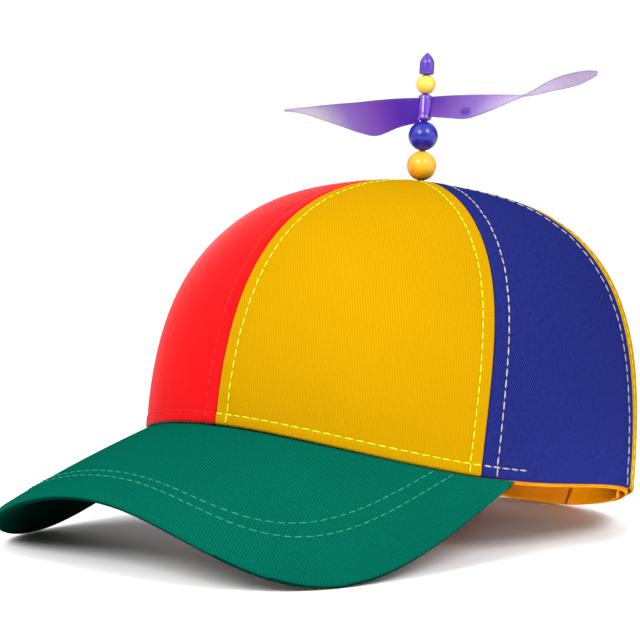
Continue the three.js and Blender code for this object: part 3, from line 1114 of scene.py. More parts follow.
@dataclass
class Brim:
    """The curved brim: twill over a stiff board, its underside in a darker green as painted shade, and two
    rows of stitches.
    """

    cloth: bpy.types.Material
    shaded_underside: bpy.types.Material
    thread: bpy.types.Material
    crown: CrownForm = CrownForm()
    name: str = "brim"
    slot: Slot = Slot.GREEN_TWILL
    end_angle: float = 68.7
    end_cut: float = 0.985
    depth: float = 124.3 * MM
    plan_power: float = 4.02
    narrowing: float = 0.0467
    slope: float = 18.4
    side_slope: float = 4.81
    arch: float = 0.0655
    curl: float = 11.63 * MM
    curl_width: float = 78.0 * MM
    curl_power: float = 5.88
    right_pull: float = 0.05
    settle: float = 0.28 * MM
    thickness: float = 3.2 * MM
    gap: float = 0.6 * MM
    tuck: float = 1.5 * MM
    end_thickness: float = 0.7 * MM
    thin_run: float = 28.0 * MM
    underside_tilt: float = -0.35
    map_split: float = 4.0 * MM
    map_stretch: float = 1.06
    columns: int = 141
    upper_rows: int = 44
    round_rows: int = 11
    row_power: float = 4.3
    row_insets: tuple[tuple[float, float], ...] = ((11.3 * MM, 15.7 * MM), (7.9 * MM, 12.1 * MM))
    rim_angles: list[float] = field(default_factory=list)
    rim_reach: list[float] = field(default_factory=list)

    def build(self) -> bpy.types.Object:
        """Makes the brim and its stitches.

        Returns:
            The brim.
        """
        self.rim_angles = spaced(0.0, math.radians(self.end_angle), 240)
        self.rim_reach = [self.crown.rim(angle).x for angle in self.rim_angles]
        turns = spaced(-1.0, 1.0, self.columns)
        section = self._section()
        bm = bmesh.new()
        cuts = [turn * self.end_cut for turn in turns]
        lay_grid(bm, self.columns, len(section), lambda i, j: self._lay(cuts[i], section[j]))
        close_loft(bm)
        tree = BVHTree.FromBMesh(bm)
        brim = make_object(self.name, bm, self.cloth, Body.CAP)
        # Faces that point down get the darker green: painted shade under the brim.
        face_with(brim, self.shaded_underside, lambda face: face.normal.z < self.underside_tilt)
        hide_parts(self.name)
        self._sew(tree)
        return brim

    def outline(
        self, across: float, side: float = 0.0, front: float = 0.0, power: float = 0.0
    ) -> Vector:
        """A point of the edge in plan, or of a line inside it.

        Args:
            across: from -1 at one end to 1 at the other.
            side: how far inside the edge the line lies at the sides.
            front: how far inside the edge it lies at the front.
            power: how square its corners are, or 0 for the edge's own.

        Returns:
            The point at level 0.
        """
        end = self.crown.rim(math.radians(self.end_angle))
        turn = math.pi / 4.0 * (1.0 - math.cos(math.pi * abs(across)))
        share = 2.0 / (power or self.plan_power)
        forward = max(0.0, math.cos(turn)) ** share
        half = (end.x - side) * math.sin(turn) ** share * (1.0 - self.narrowing * forward)
        return Vector((math.copysign(half, across), end.y - (self.depth - front) * forward, 0.0))

    def _rim_angle(self, x: float) -> float:
        """The angle at which the rim lies a distance to the side.

        Args:
            x: the distance, of either sign.

        Returns:
            The angle, from 0 to the brim's end.
        """
        i = min(len(self.rim_reach) - 2, max(0, bisect.bisect_right(self.rim_reach, abs(x)) - 1))
        part = (abs(x) - self.rim_reach[i]) / (self.rim_reach[i + 1] - self.rim_reach[i])
        return mix(self.rim_angles[i], self.rim_angles[i + 1], min(1.0, part))

    def middle(self, across: float, out: float) -> Vector:
        """A point half way through the brim.

        Args:
            across: from -1 at one end to 1 at the other.
            out: from 0 at the crown to 1 at the edge.

        Returns:
            The point in the row frame.
        """
        root = self.crown.rim(across * math.radians(self.end_angle))
        edge = self.outline(across)
        x = mix(root.x, edge.x, out)
        y = mix(root.y, edge.y, out)
        run = math.hypot(edge.x - root.x, edge.y - root.y)
        lift = self.arch * run * max(0.0, out) * (1.0 - out)
        under = (self.gap + self._half(run)) / math.cos(math.radians(self.slope)) * (1.0 - out)
        level, ahead = self._level(x, y)
        pull = self.right_pull * ahead**4 if x < 0.0 else 0.0
        return Vector((x * (1.0 - pull), y, level + lift - under))

    def _level(self, x: float, y: float) -> tuple[float, float]:
        """The plain height of the brim over a spot in plan.

        Args:
            x: the spot's distance to the side.
            y: the spot's distance to the back.

        Returns:
            The height before the arch is added, and how far ahead of the rim the spot lies, as a share.
        """
        angle = self._rim_angle(x)
        rim = self.crown.rim(angle)
        fall = math.tan(math.radians(self.slope + self.side_slope * math.sin(angle) ** 2))
        ahead = min(1.0, max(0.0, (rim.y - y) / self.depth))
        curl = self.curl * abs(x / self.curl_width) ** self.curl_power * ahead + self.settle * ahead
        return rim.z - (rim.y - y) * fall - curl, ahead

    def _unrolled(self, x: float, y: float) -> float:
        """The distance to the side of a spot in plan, measured over the cloth.

        Args:
            x: the spot's distance to the side.
            y: the spot's distance to the back.

        Returns:
            The length over the cloth, with the sign of x.
        """
        steps = spaced(0.0, abs(x), 12)
        levels = [self._level(step, y)[0] for step in steps]
        pairs = zip(steps, steps[1:], levels, levels[1:])
        return math.copysign(sum(math.hypot(b - a, d - c) for a, b, c, d in pairs), x)

    def _half(self, run: float) -> float:
        """Half the brim's thickness, which thins out where the brim runs into the crown."""
        return mix(self.end_thickness, self.thickness, smooth(run / self.thin_run)) / 2.0

    def _section(self) -> list[tuple[float, float, float]]:
        """The way round the brim's section.

        Returns:
            Rows of the share of the run, the turn round the edge, and the side of the face.
        """
        upper = [(share, 90.0) for share in spaced(0.0, 1.0, self.upper_rows)]
        bend = [(1.0, turn) for turn in spaced(90.0, -90.0, self.round_rows)[1:-1]]
        lower = [(share, -90.0) for share in spaced(1.0, 0.0, self.upper_rows // 2)]
        way = upper + bend + lower + [upper[0]]
        turned = [(share, math.radians(turn)) for share, turn in way]
        return [(share, math.cos(turn), math.sin(turn)) for share, turn in turned]

    def _lay(self, across: float, row: tuple[float, float, float]) -> Placed:
        """Lays a point of the brim's skin.

        Args:
            across: from -1 at one end to 1 at the other.
            row: a row of the section.

        Returns:
            The point and its place in the cut.
        """
        share, reach, side = row
        root = self.crown.rim(across * math.radians(self.end_angle))
        edge = self.outline(across)
        run = math.hypot(edge.x - root.x, edge.y - root.y) + self.tuck
        half = self._half(run - self.tuck)
        start = -self.tuck / run
        out = mix(start, 1.0 - half / run, share) + reach * half / run
        step = 0.004
        along = self.middle(across, out + step) - self.middle(across, out - step)
        way = self.middle(across + step, out) - self.middle(across - step, out)
        normal = way.cross(along).normalized()
        normal = -normal if normal.z < 0.0 else normal
        point = self.middle(across, out) + normal * (half * side)
        point.z = max(0.0, point.z)
        along_cut = (point.y + self.map_split * side) * self.map_stretch
        return point, (self._unrolled(point.x, point.y), along_cut)

    def _sew(self, tree: BVHTree) -> None:
        """Sews the two rows on the upper face.

        Args:
            tree: the brim's skin.
        """
        rows = StitchRows(self.name + "_stitches", self.thread, width=0.5 * MM)
        above = 0.2
        down = Vector((0.0, 0.0, -1.0))
        for side, front in self.row_insets:
            line = []
            for across in spaced(-1.0, 1.0, 900):
                spot = self.outline(across, side, front, self.row_power)
                inside = self.crown.rim(self._rim_angle(spot.x))
                hit, normal, _, _ = tree.ray_cast(Vector((spot.x, spot.y, above)), down)
                if hit is not None and spot.y < inside.y + 0.5 * MM:
                    line.append((hit, normal))
            rows.add([p for p, _ in line], [n for _, n in line])
        rows.finish()


# Bands inside the crown

@dataclass
class Band:
    """A flat strip that follows the inside of the crown, with rounded edges."""

    name: str
    slot: Slot
    cloth: bpy.types.Material
    start: float
    end: float
    outer: float
    inner: float
    crown: CrownForm = CrownForm()
    columns: int = 120
    face_rows: int = 9
    round_rows: int = 6
    slant: float = 0.0
    rests_on: tuple[str, ...] = ("back_left_panel", "back_right_panel")
    stands_in: bool = True
    usual_width: float = 20.0 * MM
    map_radius: float = 90.0 * MM

    def low(self, angle: float) -> float:
        """The level of the lower edge."""
        raise NotImplementedError

    def high(self, angle: float) -> float:
        """The level of the upper edge."""
        raise NotImplementedError

    def build(self) -> bpy.types.Object:
        """Returns:
            The band.
        """
        angles = [math.radians(a) for a in spaced(self.start, self.end, self.columns)]
        section = self._section()
        bm = bmesh.new()
        lay_grid(bm, self.columns, len(section), lambda i, j: self._lay(angles[i], *section[j]))
        close_loft(bm)
        made = make_object(self.name, bm, self.cloth, Body.CAP)
        if self.stands_in:
            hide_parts(self.name)
        length = length_of([self.crown.inner(a, self.low(a), self.outer) for a in angles])
        middle = angles[len(angles) // 2]
        width = self.high(middle) - self.low(middle)
        LOG.info("%s: %.3f by %.3f m", self.name, width, length)
        return made

    def _section(self) -> list[tuple[float, float]]:
        """The way round the section.

        Returns:
            Shares of its width and of its thickness.
        """
        edge = 0.5 * (self.inner - self.outer) / self.usual_width
        face = spaced(edge, 1.0 - edge, self.face_rows)
        turns = spaced(0.0, math.pi, self.round_rows)[1:-1]
        outer = [(share, 0.0) for share in face]
        top = [(1.0 - edge + edge * math.sin(t), 0.5 - 0.5 * math.cos(t)) for t in turns]
        inner = [(share, 1.0) for share in reversed(face)]
        foot = [(edge - edge * math.sin(t), 0.5 + 0.5 * math.cos(t)) for t in turns]
        return outer + top + inner + foot + [outer[0]]

    def _lay(self, angle: float, share: float, through: float) -> Placed:
        """Lays a point of the band.

        Args:
            angle: the angle round the crown.
            share: the share of the band's width.
            through: the share of its thickness, from the outside.

        Returns:
            The point and its place in the cut.
        """
        run = (math.degrees(angle) - self.start) / (self.end - self.start)
        turned = angle - math.radians(self.slant) * share * run
        level = mix(self.low(turned), self.high(turned), share)
        depth = mix(self.outer, self.inner, through)
        return self.crown.inner(turned, level, depth), (turned * self.map_radius, level)


@dataclass
class Sweatband(Band):
    """The band sewn inside the rim, whose folded edge shows under it."""

    above: float = 28.0 * MM
    below: float = 1.3 * MM

    def low(self, angle: float) -> float:
        """The level of the folded edge."""
        return max(0.2 * MM, self.crown.rim_level.at(angle) - self.below)

    def high(self, angle: float) -> float:
        """The level of the upper edge."""
        return self.crown.rim_level.at(angle) + self.above


@dataclass
class BackStrap(Band):
    """The strap that closes the opening at the back."""

    width: float = 20.0 * MM
    below: float = 1.2 * MM

    def low(self, angle: float) -> float:
        """The level of the lower edge."""
        return max(0.0, self.crown.rim_level.at(angle) - self.below)

    def high(self, angle: float) -> float:
        """The level of the upper edge."""
        return self.low(angle) + self.width


# Beads and propeller

@dataclass
class Stack:
    """The beads and the end cap on the post, and the frame that the propeller shares with them."""

    crown: CrownForm = CrownForm()
    lean_back: float = 2.8
    bore: float = 1.5 * MM
    steps: int = 56
    bead_rows: int = 33
    bead_lip: float = 0.08 * MM
    bead_bevel: float = 0.3 * MM
    cap_low: float = 39.75 * MM
    cap_radius: float = 2.75 * MM
    cap_shoulder: float = 4.0 * MM
    cap_height: float = 8.3 * MM
    cap_deep: float = 4.9 * MM

    def frame(self) -> Matrix:
        """The post's own frame: its foot at the crown's top, its Z along the post."""
        foot = Vector((0.0, self.crown.setback + self.crown.origin, self.crown.top))
        return Matrix.Translation(foot) @ Matrix.Rotation(math.radians(-self.lean_back), 4, "X")

    def turn(
        self, name: str, slot: Slot, profile: list[tuple[float, float]], finish: bpy.types.Material
    ) -> bpy.types.Object:
        """Makes a turned piece and lets it stand for its CAD node.

        Args:
            name: the CAD node's name.
            slot: the record's material slot; it is not used.
            profile: a closed line of radius and height.
            finish: its material.

        Returns:
            The piece.
        """
        bm = bmesh.new()
        self.spin(bm, profile)
        bm.transform(self.frame())
        made = make_object(name, bm, finish, Body.CAP)
        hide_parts(name)
        return made

    def spin(self, bm: bmesh.types.BMesh, profile: list[tuple[float, float]]) -> None:
        """Turns a closed line round the post's own Z axis.

        Args:
            bm: the mesh that gets the turned shape.
            profile: a closed line of radius and height.
        """
        verts = [bm.verts.new((radius, 0.0, height)) for radius, height in profile]
        edges = [bm.edges.new((a, b)) for a, b in zip(verts, verts[1:] + verts[:1])]
        bmesh.ops.spin(
            bm,
            geom=verts + edges,
            cent=(0.0, 0.0, 0.0),
            axis=(0.0, 0.0, 1.0),
            angle=math.tau,
            steps=self.steps,
            use_merge=True,
        )
        bmesh.ops.recalc_face_normals(bm, faces=bm.faces)

    def bead(
        self, name: str, slot: Slot, centre: float, radius: float, finish: bpy.types.Material
    ) -> None:
        """Makes a drilled bead.

        Args:
            name: the CAD node's name.
            slot: the record's material slot; it is not used.
            centre: its height over the crown.
            radius: its radius.
            finish: its material.
        """
        lip = math.asin((self.bore + self.bead_lip) / radius)
        turns = spaced(lip, math.pi - lip, self.bead_rows)
        ball = [(radius * math.sin(t), centre - radius * math.cos(t)) for t in turns]
        half = math.sqrt(radius**2 - self.bore**2) - self.bead_bevel
        hole = [(self.bore, centre + half), (self.bore, centre - half)]
        self.turn(name, slot, ball + hole, finish)

    def finial(self, name: str, slot: Slot, finish: bpy.types.Material) -> None:
        """Makes the bullet-shaped end cap.

        Args:
            name: the CAD node's name.
            slot: the record's material slot; it is not used.
            finish: its material.
        """
        low, radius = self.cap_low, self.cap_radius
        shoulder = low + self.cap_shoulder
        tip = low + self.cap_height
        roof = low + self.cap_deep
        pole = 0.02 * MM
        foot = [(self.bore, low), (radius - 0.45 * MM, low), (radius - 0.12 * MM, low + 0.14 * MM)]
        side = [(radius, low + 0.5 * MM), (radius, low + self.cap_shoulder * 0.6)]
        shares = spaced(0.0, 1.0, 22)[:-1]
        nose = [(radius * (1.0 - t**1.8) ** 0.85, mix(shoulder, tip, t)) for t in shares]
        top = [(pole, tip), (pole, roof), (self.bore, roof)]
        self.turn(name, slot, foot + side + nose + top, finish)


@dataclass(frozen=True)
class Station:
    """A section of a blade: its place, height and width in millimetres, and its pitch in degrees."""

    reach: float
    rise: float
    chord: float
    pitch: float


@dataclass
class Propeller:
    """The hub and two bent blades, moulded in one piece."""

    stack: Stack
    finish: bpy.types.Material
    hub_finish: bpy.types.Material
    name: str = "propeller"
    slot: Slot = Slot.TINTED_PLASTIC
    angle: float = 32.5
    thickness: float = 1.0 * MM
    hub_radius: float = 2.5 * MM
    hub_low: float = 22.5 * MM
    hub_high: float = 32.2 * MM
    hub_lip: float = 0.7 * MM
    hub_round: float = 0.2 * MM
    hub_flare: float = 0.25 * MM
    lengthwise: int = 64
    chordwise: int = 15
    drop: float = 0.5 * MM

    RAISED = (
        Station(1.9, 1.0, 8.8, 63.0),
        Station(9.4, 1.3, 10.9, 56.0),
        Station(15.4, 1.5, 13.1, 48.0),
        Station(21.5, 2.6, 15.2, 34.0),
        Station(30.0, 4.7, 16.4, 18.0),
        Station(38.4, 7.0, 16.5, 3.0),
        Station(47.7, 11.0, 15.0, -11.0),
        Station(55.2, 13.3, 12.5, -18.0),
        Station(60.4, 15.0, 8.6, -18.0),
        Station(63.5, 16.0, 2.8, -15.0),
    )
    LEVEL = (
        Station(1.9, -0.5, 9.7, 68.0),
        Station(9.4, -1.8, 12.0, 60.0),
        Station(17.8, -4.1, 15.7, 54.0),
        Station(24.3, -4.3, 16.7, 40.0),
        Station(31.8, -3.7, 16.5, 27.0),
        Station(39.8, -3.1, 14.6, 16.0),
        Station(46.8, -2.6, 10.7, 6.0),
        Station(50.5, -2.6, 7.1, 1.0),
        Station(53.2, -2.7, 1.4, 0.0),
    )

    def build(self) -> bpy.types.Object:
        """Makes the propeller.

        Returns:
            The blades, which ride on the propeller's body with the hub.
        """
        bm = bmesh.new()
        for sign, stations in ((1.0, self.RAISED), (-1.0, self.LEVEL)):
            self._blade(bm, stations, sign)
        middle = (self.hub_low + self.hub_high) / 2.0
        turned = Matrix.Rotation(math.radians(self.angle), 4, "Z")
        place = self.stack.frame() @ Matrix.Translation((0.0, 0.0, middle)) @ turned
        bm.transform(place @ Matrix.Translation((0.0, 0.0, -self.drop)))
        made = make_object(self.name, bm, self.finish, Body.PROPELLER)
        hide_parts(self.name)
        self._hub(place)
        return made

    def _blade(self, bm: bmesh.types.BMesh, stations: tuple[Station, ...], sign: float) -> None:
        """Adds one blade, from its root in the hub to its tip.

        Args:
            bm: the mesh that gets it.
            stations: its sections.
            sign: 1 for the blade along X, -1 for the one opposite.
        """
        own = bmesh.new()
        places = [1.0 - (1.0 - t) ** 1.35 for t in spaced(0.0, 1.0, self.lengthwise)]
        cuts = [self._between(stations, place) for place in places]
        way = self._section()
        lay_grid(own, len(cuts), len(way), lambda i, j: self._lay(cuts[i], way[j], sign))
        close_loft(own)
        if sign < 0.0:
            own.transform(Matrix.Rotation(math.pi, 4, "Z"))
        self._add(bm, own)

    def _add(self, bm: bmesh.types.BMesh, own: bmesh.types.BMesh) -> None:
        """Moves a finished mesh into the propeller's mesh.

        Args:
            bm: the propeller's mesh.
            own: the finished mesh. It is freed.
        """
        held = bpy.data.meshes.new("blade")
        own.to_mesh(held)
        own.free()
        bm.from_mesh(held)
        bpy.data.meshes.remove(held)

    def _between(self, stations: tuple[Station, ...], place: float) -> Station:
        """A section between the given ones.

        Args:
            stations: the given sections.
            place: a share of the way along them.

        Returns:
            The smoothly blended section.
        """
        at = place * (len(stations) - 1)
        i = min(len(stations) - 2, int(at))
        t = at - i
        near = [stations[min(len(stations) - 1, max(0, i + k))] for k in (-1, 0, 1, 2)]
        rows = zip(*((s.reach, s.rise, s.chord, s.pitch) for s in near))
        return Station(*(self._curve(*row, t) for row in rows))

    def _curve(self, a: float, b: float, c: float, d: float, t: float) -> float:
        """A smooth curve from b to c through its neighbours a and d."""
        bend = (3.0 * (b - c) + d - a) * t
        return b + 0.5 * t * (c - a + t * (2.0 * a - 5.0 * b + 4.0 * c - d + bend))

    def _section(self) -> list[tuple[float, float]]:
        """The way round a blade's section.

        Returns:
            Shares of its width and of its half thickness.
        """
        way = []
        for side, ends in ((1.0, (0.0, math.pi)), (-1.0, (math.pi, 0.0))):
            for turn in spaced(*ends, self.chordwise)[:-1]:
                share = 0.5 - 0.5 * math.cos(turn)
                full = math.sqrt(max(0.0, 1.0 - abs(2.0 * share - 1.0) ** 6))
                way.append((share, side * full))
        return way + [way[0]]

    def _lay(self, cut: Station, spot: tuple[float, float], sign: float) -> Placed:
        """Lays a point of a blade's skin.

        Args:
            cut: the section.
            spot: the shares of the section's width and of its half thickness.
            sign: 1 for the blade along X, -1 for the one opposite.

        Returns:
            The point, with its reach and its share of the width.
        """
        share, side = spot
        tilt = math.radians(cut.pitch)
        along = (share - 0.5) * cut.chord * MM
        half = side * min(self.thickness / 2.0, cut.chord * MM * 0.3)
        y = along * math.cos(tilt) - half * math.sin(tilt)
        z = cut.rise * MM + along * math.sin(tilt) + half * math.cos(tilt)
        return Vector((cut.reach * MM, y, z)), (sign * cut.reach * MM, share)

    def _hub(self, place: Matrix) -> None:
        """Makes the hub with its flared foot.

        Args:
            place: the hub's own frame.
        """
        bm = bmesh.new()
        half = (self.hub_high - self.hub_low) / 2.0
        bore = self.stack.bore
        radius, lip = self.hub_radius, self.hub_lip
        edge = radius - self.hub_round
        flared = radius + self.hub_flare
        profile = [
            (bore, -half),
            (radius - lip, -half),
            (edge, -half + self.hub_round),
            (flared, -half + lip),
            (flared, -half + 1.3 * MM),
            (radius + 0.1 * MM, -half + 1.6 * MM),
            (radius, -half + 2.2 * MM),
            (radius, half - lip),
            (edge, half - self.hub_round),
            (radius - lip, half),
            (bore, half),
        ]
        self.stack.spin(bm, profile)
        bm.transform(place)
        hub = make_object(self.name + "_hub", bm, self.hub_finish, Body.PROPELLER)


# Studio

@dataclass(frozen=True)
class Wall:
    """A bright part of the room: its direction in the camera's axes, its soft edge and its strength."""

    axis: tuple[float, float, float]
    edge: tuple[float, float]
    strength: float


@dataclass(frozen=True)
class SoftBox:
    """A rectangular light.

    Its way is given in the camera's right, up and backward directions, its power in watts and its spread in
    degrees.
    """

    name: str
    way: tuple[float, float, float]
    distance: float
    size: tuple[float, float]
    power: float
    aim: tuple[float, float, float] = (0.0, 0.0, 0.07)
    spread: float = 180.0
    shows: bool = True


@dataclass
class Studio:
    """The floor, the lights, the white room and the camera."""

    floor_size: float = 12.0
    ceiling: float = 1.25
    low_room: float = 0.16
    ceiling_edge: tuple[float, float] = (0.35, 0.65)
    backdrop: Wall = Wall((0.0, 0.0, -1.0), (0.86, 0.95), 1.07)
    right_wall: Wall = Wall((0.93, 0.06, 0.36), (0.7, 0.97), 2.3)
    left_wall: Wall = Wall((-0.74, 0.66, 0.1), (0.66, 0.97), 2.4)
    key: SoftBox = SoftBox("key_light", (-0.446, 0.502, 0.73), 1.3, (0.5, 0.5), 16.0)
    fill: SoftBox = SoftBox("fill_light", (0.486, 0.594, 0.62), 1.3, (0.42, 0.5), 13.0)
    low: SoftBox = SoftBox(
        "low_light",
        (0.03, -0.015, 1.0),
        0.95,
        (0.06, 0.04),
        0.026,
        aim=(0.05, 0.10, 0.008),
        spread=7.5,
        shows=False,
    )
    camera_place: tuple[float, float, float] = (0.503478, -0.586732, 0.122870)
    camera_right: tuple[float, float, float] = (0.74979348, 0.66132505, 0.02142241)
    camera_up: tuple[float, float, float] = (-0.05513379, 0.03018017, 0.99802276)
    focal_share: float = 2138.77 / 640.0
    sensor: float = 36.0

    def build(self) -> None:
        """Makes the whole studio."""
        scene = bpy.context.scene
        scene.view_settings.view_transform = "Standard"
        self._floor()
        self._room(scene)
        self._camera(scene)
        for box in (self.key, self.fill, self.low):
            self._light(box)

    def _axes(self) -> Matrix:
        """The camera's axes.

        Returns:
            A turn whose columns are the right, up and backward directions.
        """
        right = Vector(self.camera_right)
        up = Vector(self.camera_up)
        return Matrix((right, up, right.cross(up))).transposed()

    def _floor(self) -> None:
        """Makes the floor."""
        bm = bmesh.new()
        bmesh.ops.create_grid(bm, x_segments=2, y_segments=2, size=self.floor_size)
        mesh = bpy.data.meshes.new("floor")
        bm.to_mesh(mesh)
        bm.free()
        mesh.materials.append(FloorFinish().material())
        floor = bpy.data.objects.new("floor", mesh)
        bpy.context.scene.collection.objects.link(floor)

    def _room(self, scene: bpy.types.Scene) -> None:
        """Makes the room's light: a bright ceiling, side walls, and a white backdrop behind the cap.

        Args:
            scene: the scene that gets the room.
        """
        world = bpy.data.worlds.new("studio_room")
        world.use_nodes = True
        tree = world.node_tree
        way = tree.nodes.new("ShaderNodeTexCoord").outputs["Generated"]
        split = tree.nodes.new("ShaderNodeSeparateXYZ")
        tree.links.new(way, split.inputs["Vector"])
        light = self._rise(tree, split.outputs["Z"], self.ceiling_edge, (self.low_room, self.ceiling))
        for wall in (self.backdrop, self.right_wall, self.left_wall):
            facing = tree.nodes.new("ShaderNodeVectorMath")
            facing.operation = "DOT_PRODUCT"
            tree.links.new(way, facing.inputs[0])
            facing.inputs[1].default_value = self._axes() @ Vector(wall.axis)
            part = self._rise(tree, facing.outputs["Value"], wall.edge, (0.0, wall.strength))
            brighter = tree.nodes.new("ShaderNodeMath")
            brighter.operation = "MAXIMUM"
            tree.links.new(light, brighter.inputs[0])
            tree.links.new(part, brighter.inputs[1])
            light = brighter.outputs["Value"]
        back = tree.nodes["Background"]
        back.inputs["Color"].default_value = (1.0, 1.0, 1.0, 1.0)
        tree.links.new(light, back.inputs["Strength"])
        scene.world = world

    def _rise(
        self,
        tree: bpy.types.NodeTree,
        source: bpy.types.NodeSocket,
        span: tuple[float, float],
        values: tuple[float, float],
    ) -> bpy.types.NodeSocket:
        """Adds a smooth step from one value to another.

        Args:
            tree: the tree that gets the node.
            source: what is read.
            span: where the step starts and ends.
            values: the value before the step and after it.

        Returns:
            The step's output socket.
        """
        step = tree.nodes.new("ShaderNodeMapRange")
        step.interpolation_type = "SMOOTHSTEP"
        tree.links.new(source, step.inputs["Value"])
        step.inputs["From Min"].default_value, step.inputs["From Max"].default_value = span
        step.inputs["To Min"].default_value, step.inputs["To Max"].default_value = values
        return step.outputs["Result"]

    def _camera(self, scene: bpy.types.Scene) -> None:
        """Makes the camera where the photograph was taken from.

        Args:
            scene: the scene that gets the camera.
        """
        data = bpy.data.cameras.new("camera")
        data.sensor_width = self.sensor
        data.lens = self.focal_share * self.sensor
        data.clip_start = 0.01
        data.clip_end = 50.0
        camera = bpy.data.objects.new("camera", data)
        camera.matrix_world = Matrix.Translation(self.camera_place) @ self._axes().to_4x4()
        scene.collection.objects.link(camera)
        scene.camera = camera

    def _light(self, box: SoftBox) -> None:
        """Makes a soft box that faces its aim.

        Args:
            box: what it is like.
        """
        data = bpy.data.lights.new(box.name, "AREA")
        data.shape = "RECTANGLE"
        data.size, data.size_y = box.size
        data.energy = box.power
        data.spread = math.radians(box.spread)
        aim = Vector(box.aim)
        place = aim + (self._axes() @ Vector(box.way)).normalized() * box.distance
        light = bpy.data.objects.new(box.name, data)
        light.location = place
        light.rotation_mode = "QUATERNION"
        light.rotation_quaternion = (aim - place).to_track_quat("-Z", "Y")
        light.visible_camera = box.shows
        bpy.context.scene.collection.objects.link(light)


# The cap

YELLOW = TwillFinish(
    "yellow_twill",
    light=(0.352, 0.189, 0.001),
    dark=(0.298, 0.155, 0.0007),
    rib_angle=-14.0,
    pitch=0.88 * MM,
    fleck=800.0,
)
RED = TwillFinish(
    "red_twill",
    light=(0.50, 0.0055, 0.0066),
    dark=(0.44, 0.0046, 0.0055),
    rib_angle=-14.0,
    relief=0.2,
    sheen=0.18,
)
BLUE = TwillFinish(
    "blue_twill",
    light=(0.0155, 0.0210, 0.128),
    dark=(0.0032, 0.0050, 0.064),
    rib_angle=-30.0,
    ribs=0.4,
    fleck=650.0,
)
GREEN = TwillFinish(
    "green_twill",
    light=(0.0012, 0.091, 0.060),
    dark=(0.0001, 0.040, 0.0255),
    rib_angle=-22.5,
    pitch=1.06 * MM,
    fleck=750.0,
)
# Painted shade: a much darker copy of the green twill, laid on the brim's underside to stand for the shade
# under it.
SHADED_UNDER = TwillFinish(
    "under_twill_painted_shade",
    light=(0.0003, 0.026, 0.018),
    dark=(0.0002, 0.018, 0.012),
    rib_angle=-22.5,
    pitch=1.06 * MM,
    ribs=0.6,
)
# Painted shade: a deeper orange copy of the yellow twill for the inside of the sweatband and the strap,
# standing for yellow cloth in shade inside the crown.
SHADED_BAND = TwillFinish(
    "band_twill_painted_shade",
    light=(0.62, 0.22, 0.008),
    dark=(0.55, 0.19, 0.006),
    rib_angle=30.0,
    ribs=0.25,
    glow=0.5,
)
# Painted light: a lighter orange copy of the same inside cloth for the strap's inner end, standing for more
# light falling on that part.
LIT_TAB = TwillFinish(
    "tab_twill_painted_light",
    light=(0.95, 0.28, 0.002),
    dark=(0.88, 0.25, 0.0015),
    rib_angle=30.0,
    ribs=0.25,
    glow=0.5,
)
LIME_THREAD = ThreadFinish("lime_thread", (0.52, 0.55, 0.025), (0.42, 0.42, 0.012))
CREAM_THREAD = ThreadFinish("cream_thread", (0.36, 0.33, 0.31), (0.22, 0.20, 0.19))
RED_THREAD = ThreadFinish("red_thread", (0.50, 0.011, 0.0125), (0.43, 0.008, 0.0095))
GREEN_THREAD = ThreadFinish("green_thread", (0.016, 0.20, 0.125), (0.007, 0.13, 0.08))
ORANGE = LacquerFinish("orange_lacquer", (0.61, 0.315, 0.006), (0.54, 0.26, 0.004))
BLUE_GLOSS = LacquerFinish("blue_lacquer", (0.004, 0.0085, 0.23), (0.003, 0.006, 0.18))
PALE = LacquerFinish("pale_lacquer", (0.58, 0.39, 0.048), (0.52, 0.34, 0.035))
PURPLE = LacquerFinish("purple_plastic", (0.06, 0.018, 0.27), (0.045, 0.013, 0.21), 0.35, 0.35)
VIOLET = LacquerFinish("violet_plastic", (0.08, 0.018, 0.30), (0.06, 0.013, 0.24), 0.3, 0.6)


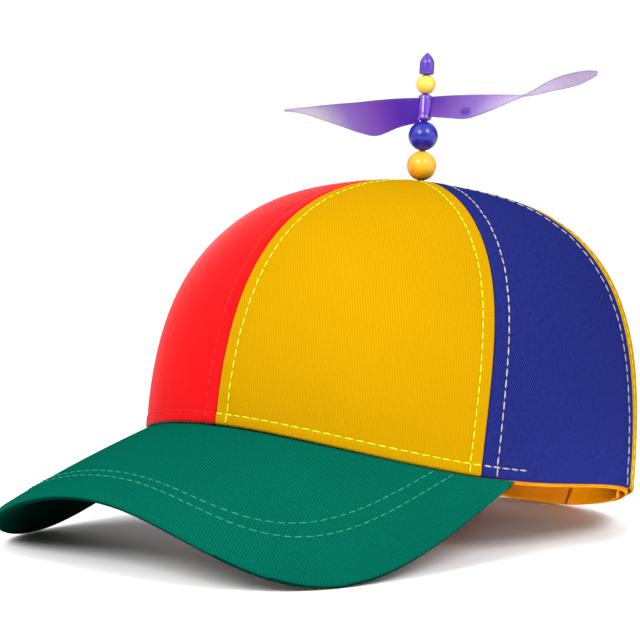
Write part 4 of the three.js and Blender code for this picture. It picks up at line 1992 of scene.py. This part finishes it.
def build_crown() -> None:
    """Builds the six panels, the brim and the bands inside the rim."""
    yellow, red, blue = (finish.material() for finish in (YELLOW, RED, BLUE))
    lime, cream, scarlet = (finish.material() for finish in (LIME_THREAD, CREAM_THREAD, RED_THREAD))
    front, side, back = Seam(0.0), Seam(59.0, 5.9), Seam(121.5, 1.4)
    side_right, back_right = Seam(-59.0, -5.9), Seam(-121.5, -1.4)
    panels = (
        CrownPanel("front_left_panel", Slot.YELLOW_TWILL, front, side, yellow, lime),
        CrownPanel("front_right_panel", Slot.RED_TWILL, side_right, front, red, scarlet, pucker=0.16 * MM),
        CrownPanel("left_panel", Slot.BLUE_TWILL, side, back, blue, cream, inset=5.8 * MM),
        CrownPanel("right_panel", Slot.BLUE_TWILL, back_right, side_right, blue, cream, inset=5.8 * MM),
        CrownPanel("back_left_panel", Slot.YELLOW_TWILL, back, Seam(180.0), yellow, lime),
        CrownPanel("back_right_panel", Slot.RED_TWILL, Seam(-180.0), back_right, red, scarlet),
    )
    for panel in panels:
        panel.build()
    Brim(GREEN.material(), SHADED_UNDER.material(), GREEN_THREAD.material()).build()
    build_bands(yellow)


def build_bands(outside: bpy.types.Material) -> None:
    """Builds the sweatband, the strap over the opening, and the strap's inner end.

    Args:
        outside: the cloth of the strap's outer face.
    """
    # The sweatband and the strap's inner faces take the orange copy painted as shade; the strap's outer
    # face keeps the yellow twill.
    band = SHADED_BAND.material()
    slot = Slot.YELLOW_TWILL
    Sweatband("sweatband", slot, band, -147.0, 147.0, 1.8 * MM, 2.8 * MM).build()
    strap = BackStrap("back_strap", slot, band, 147.0, 213.0, 1.8 * MM, 3.3 * MM, columns=68)
    face_with(strap.build(), outside, lambda face: face.normal.y > 0.2)
    # The strap's inner end takes the lighter orange copy, painted light.
    BackStrap(
        "strap_tab",
        slot,
        LIT_TAB.material(),
        start=140.0,
        end=168.5,
        outer=3.5 * MM,
        inner=4.7 * MM,
        columns=40,
        slant=3.0,
        rests_on=("back_strap", "sweatband"),
        stands_in=False,
        width=18.0 * MM,
    ).build()


def build_stack() -> None:
    """Builds the beads, the end cap and the propeller, and dresses the post."""
    stack = Stack()
    orange, blue, pale, purple = (finish.material() for finish in (ORANGE, BLUE_GLOSS, PALE, PURPLE))
    stack.bead("lower_bead", Slot.ORANGE_LACQUER, 5.6 * MM, 5.54 * MM, orange)
    stack.bead("middle_bead", Slot.BLUE_LACQUER, 16.8 * MM, 5.54 * MM, blue)
    stack.bead("upper_bead", Slot.PALE_LACQUER, 36.0 * MM, 3.68 * MM, pale)
    stack.finial("finial", Slot.PURPLE_PLASTIC, purple)
    Propeller(stack, TintedFinish().material(), VIOLET.material()).build()
    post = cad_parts["post"]
    post.data.materials.clear()
    post.data.materials.append(purple)
    LOG.info("post: dressed")


def main() -> None:
    """Builds the cap and the studio."""
    logging.basicConfig(level=logging.INFO, format="%(name)s: %(message)s")
    build_crown()
    build_stack()
    Studio().build()


if __name__ == "__main__":
    main()
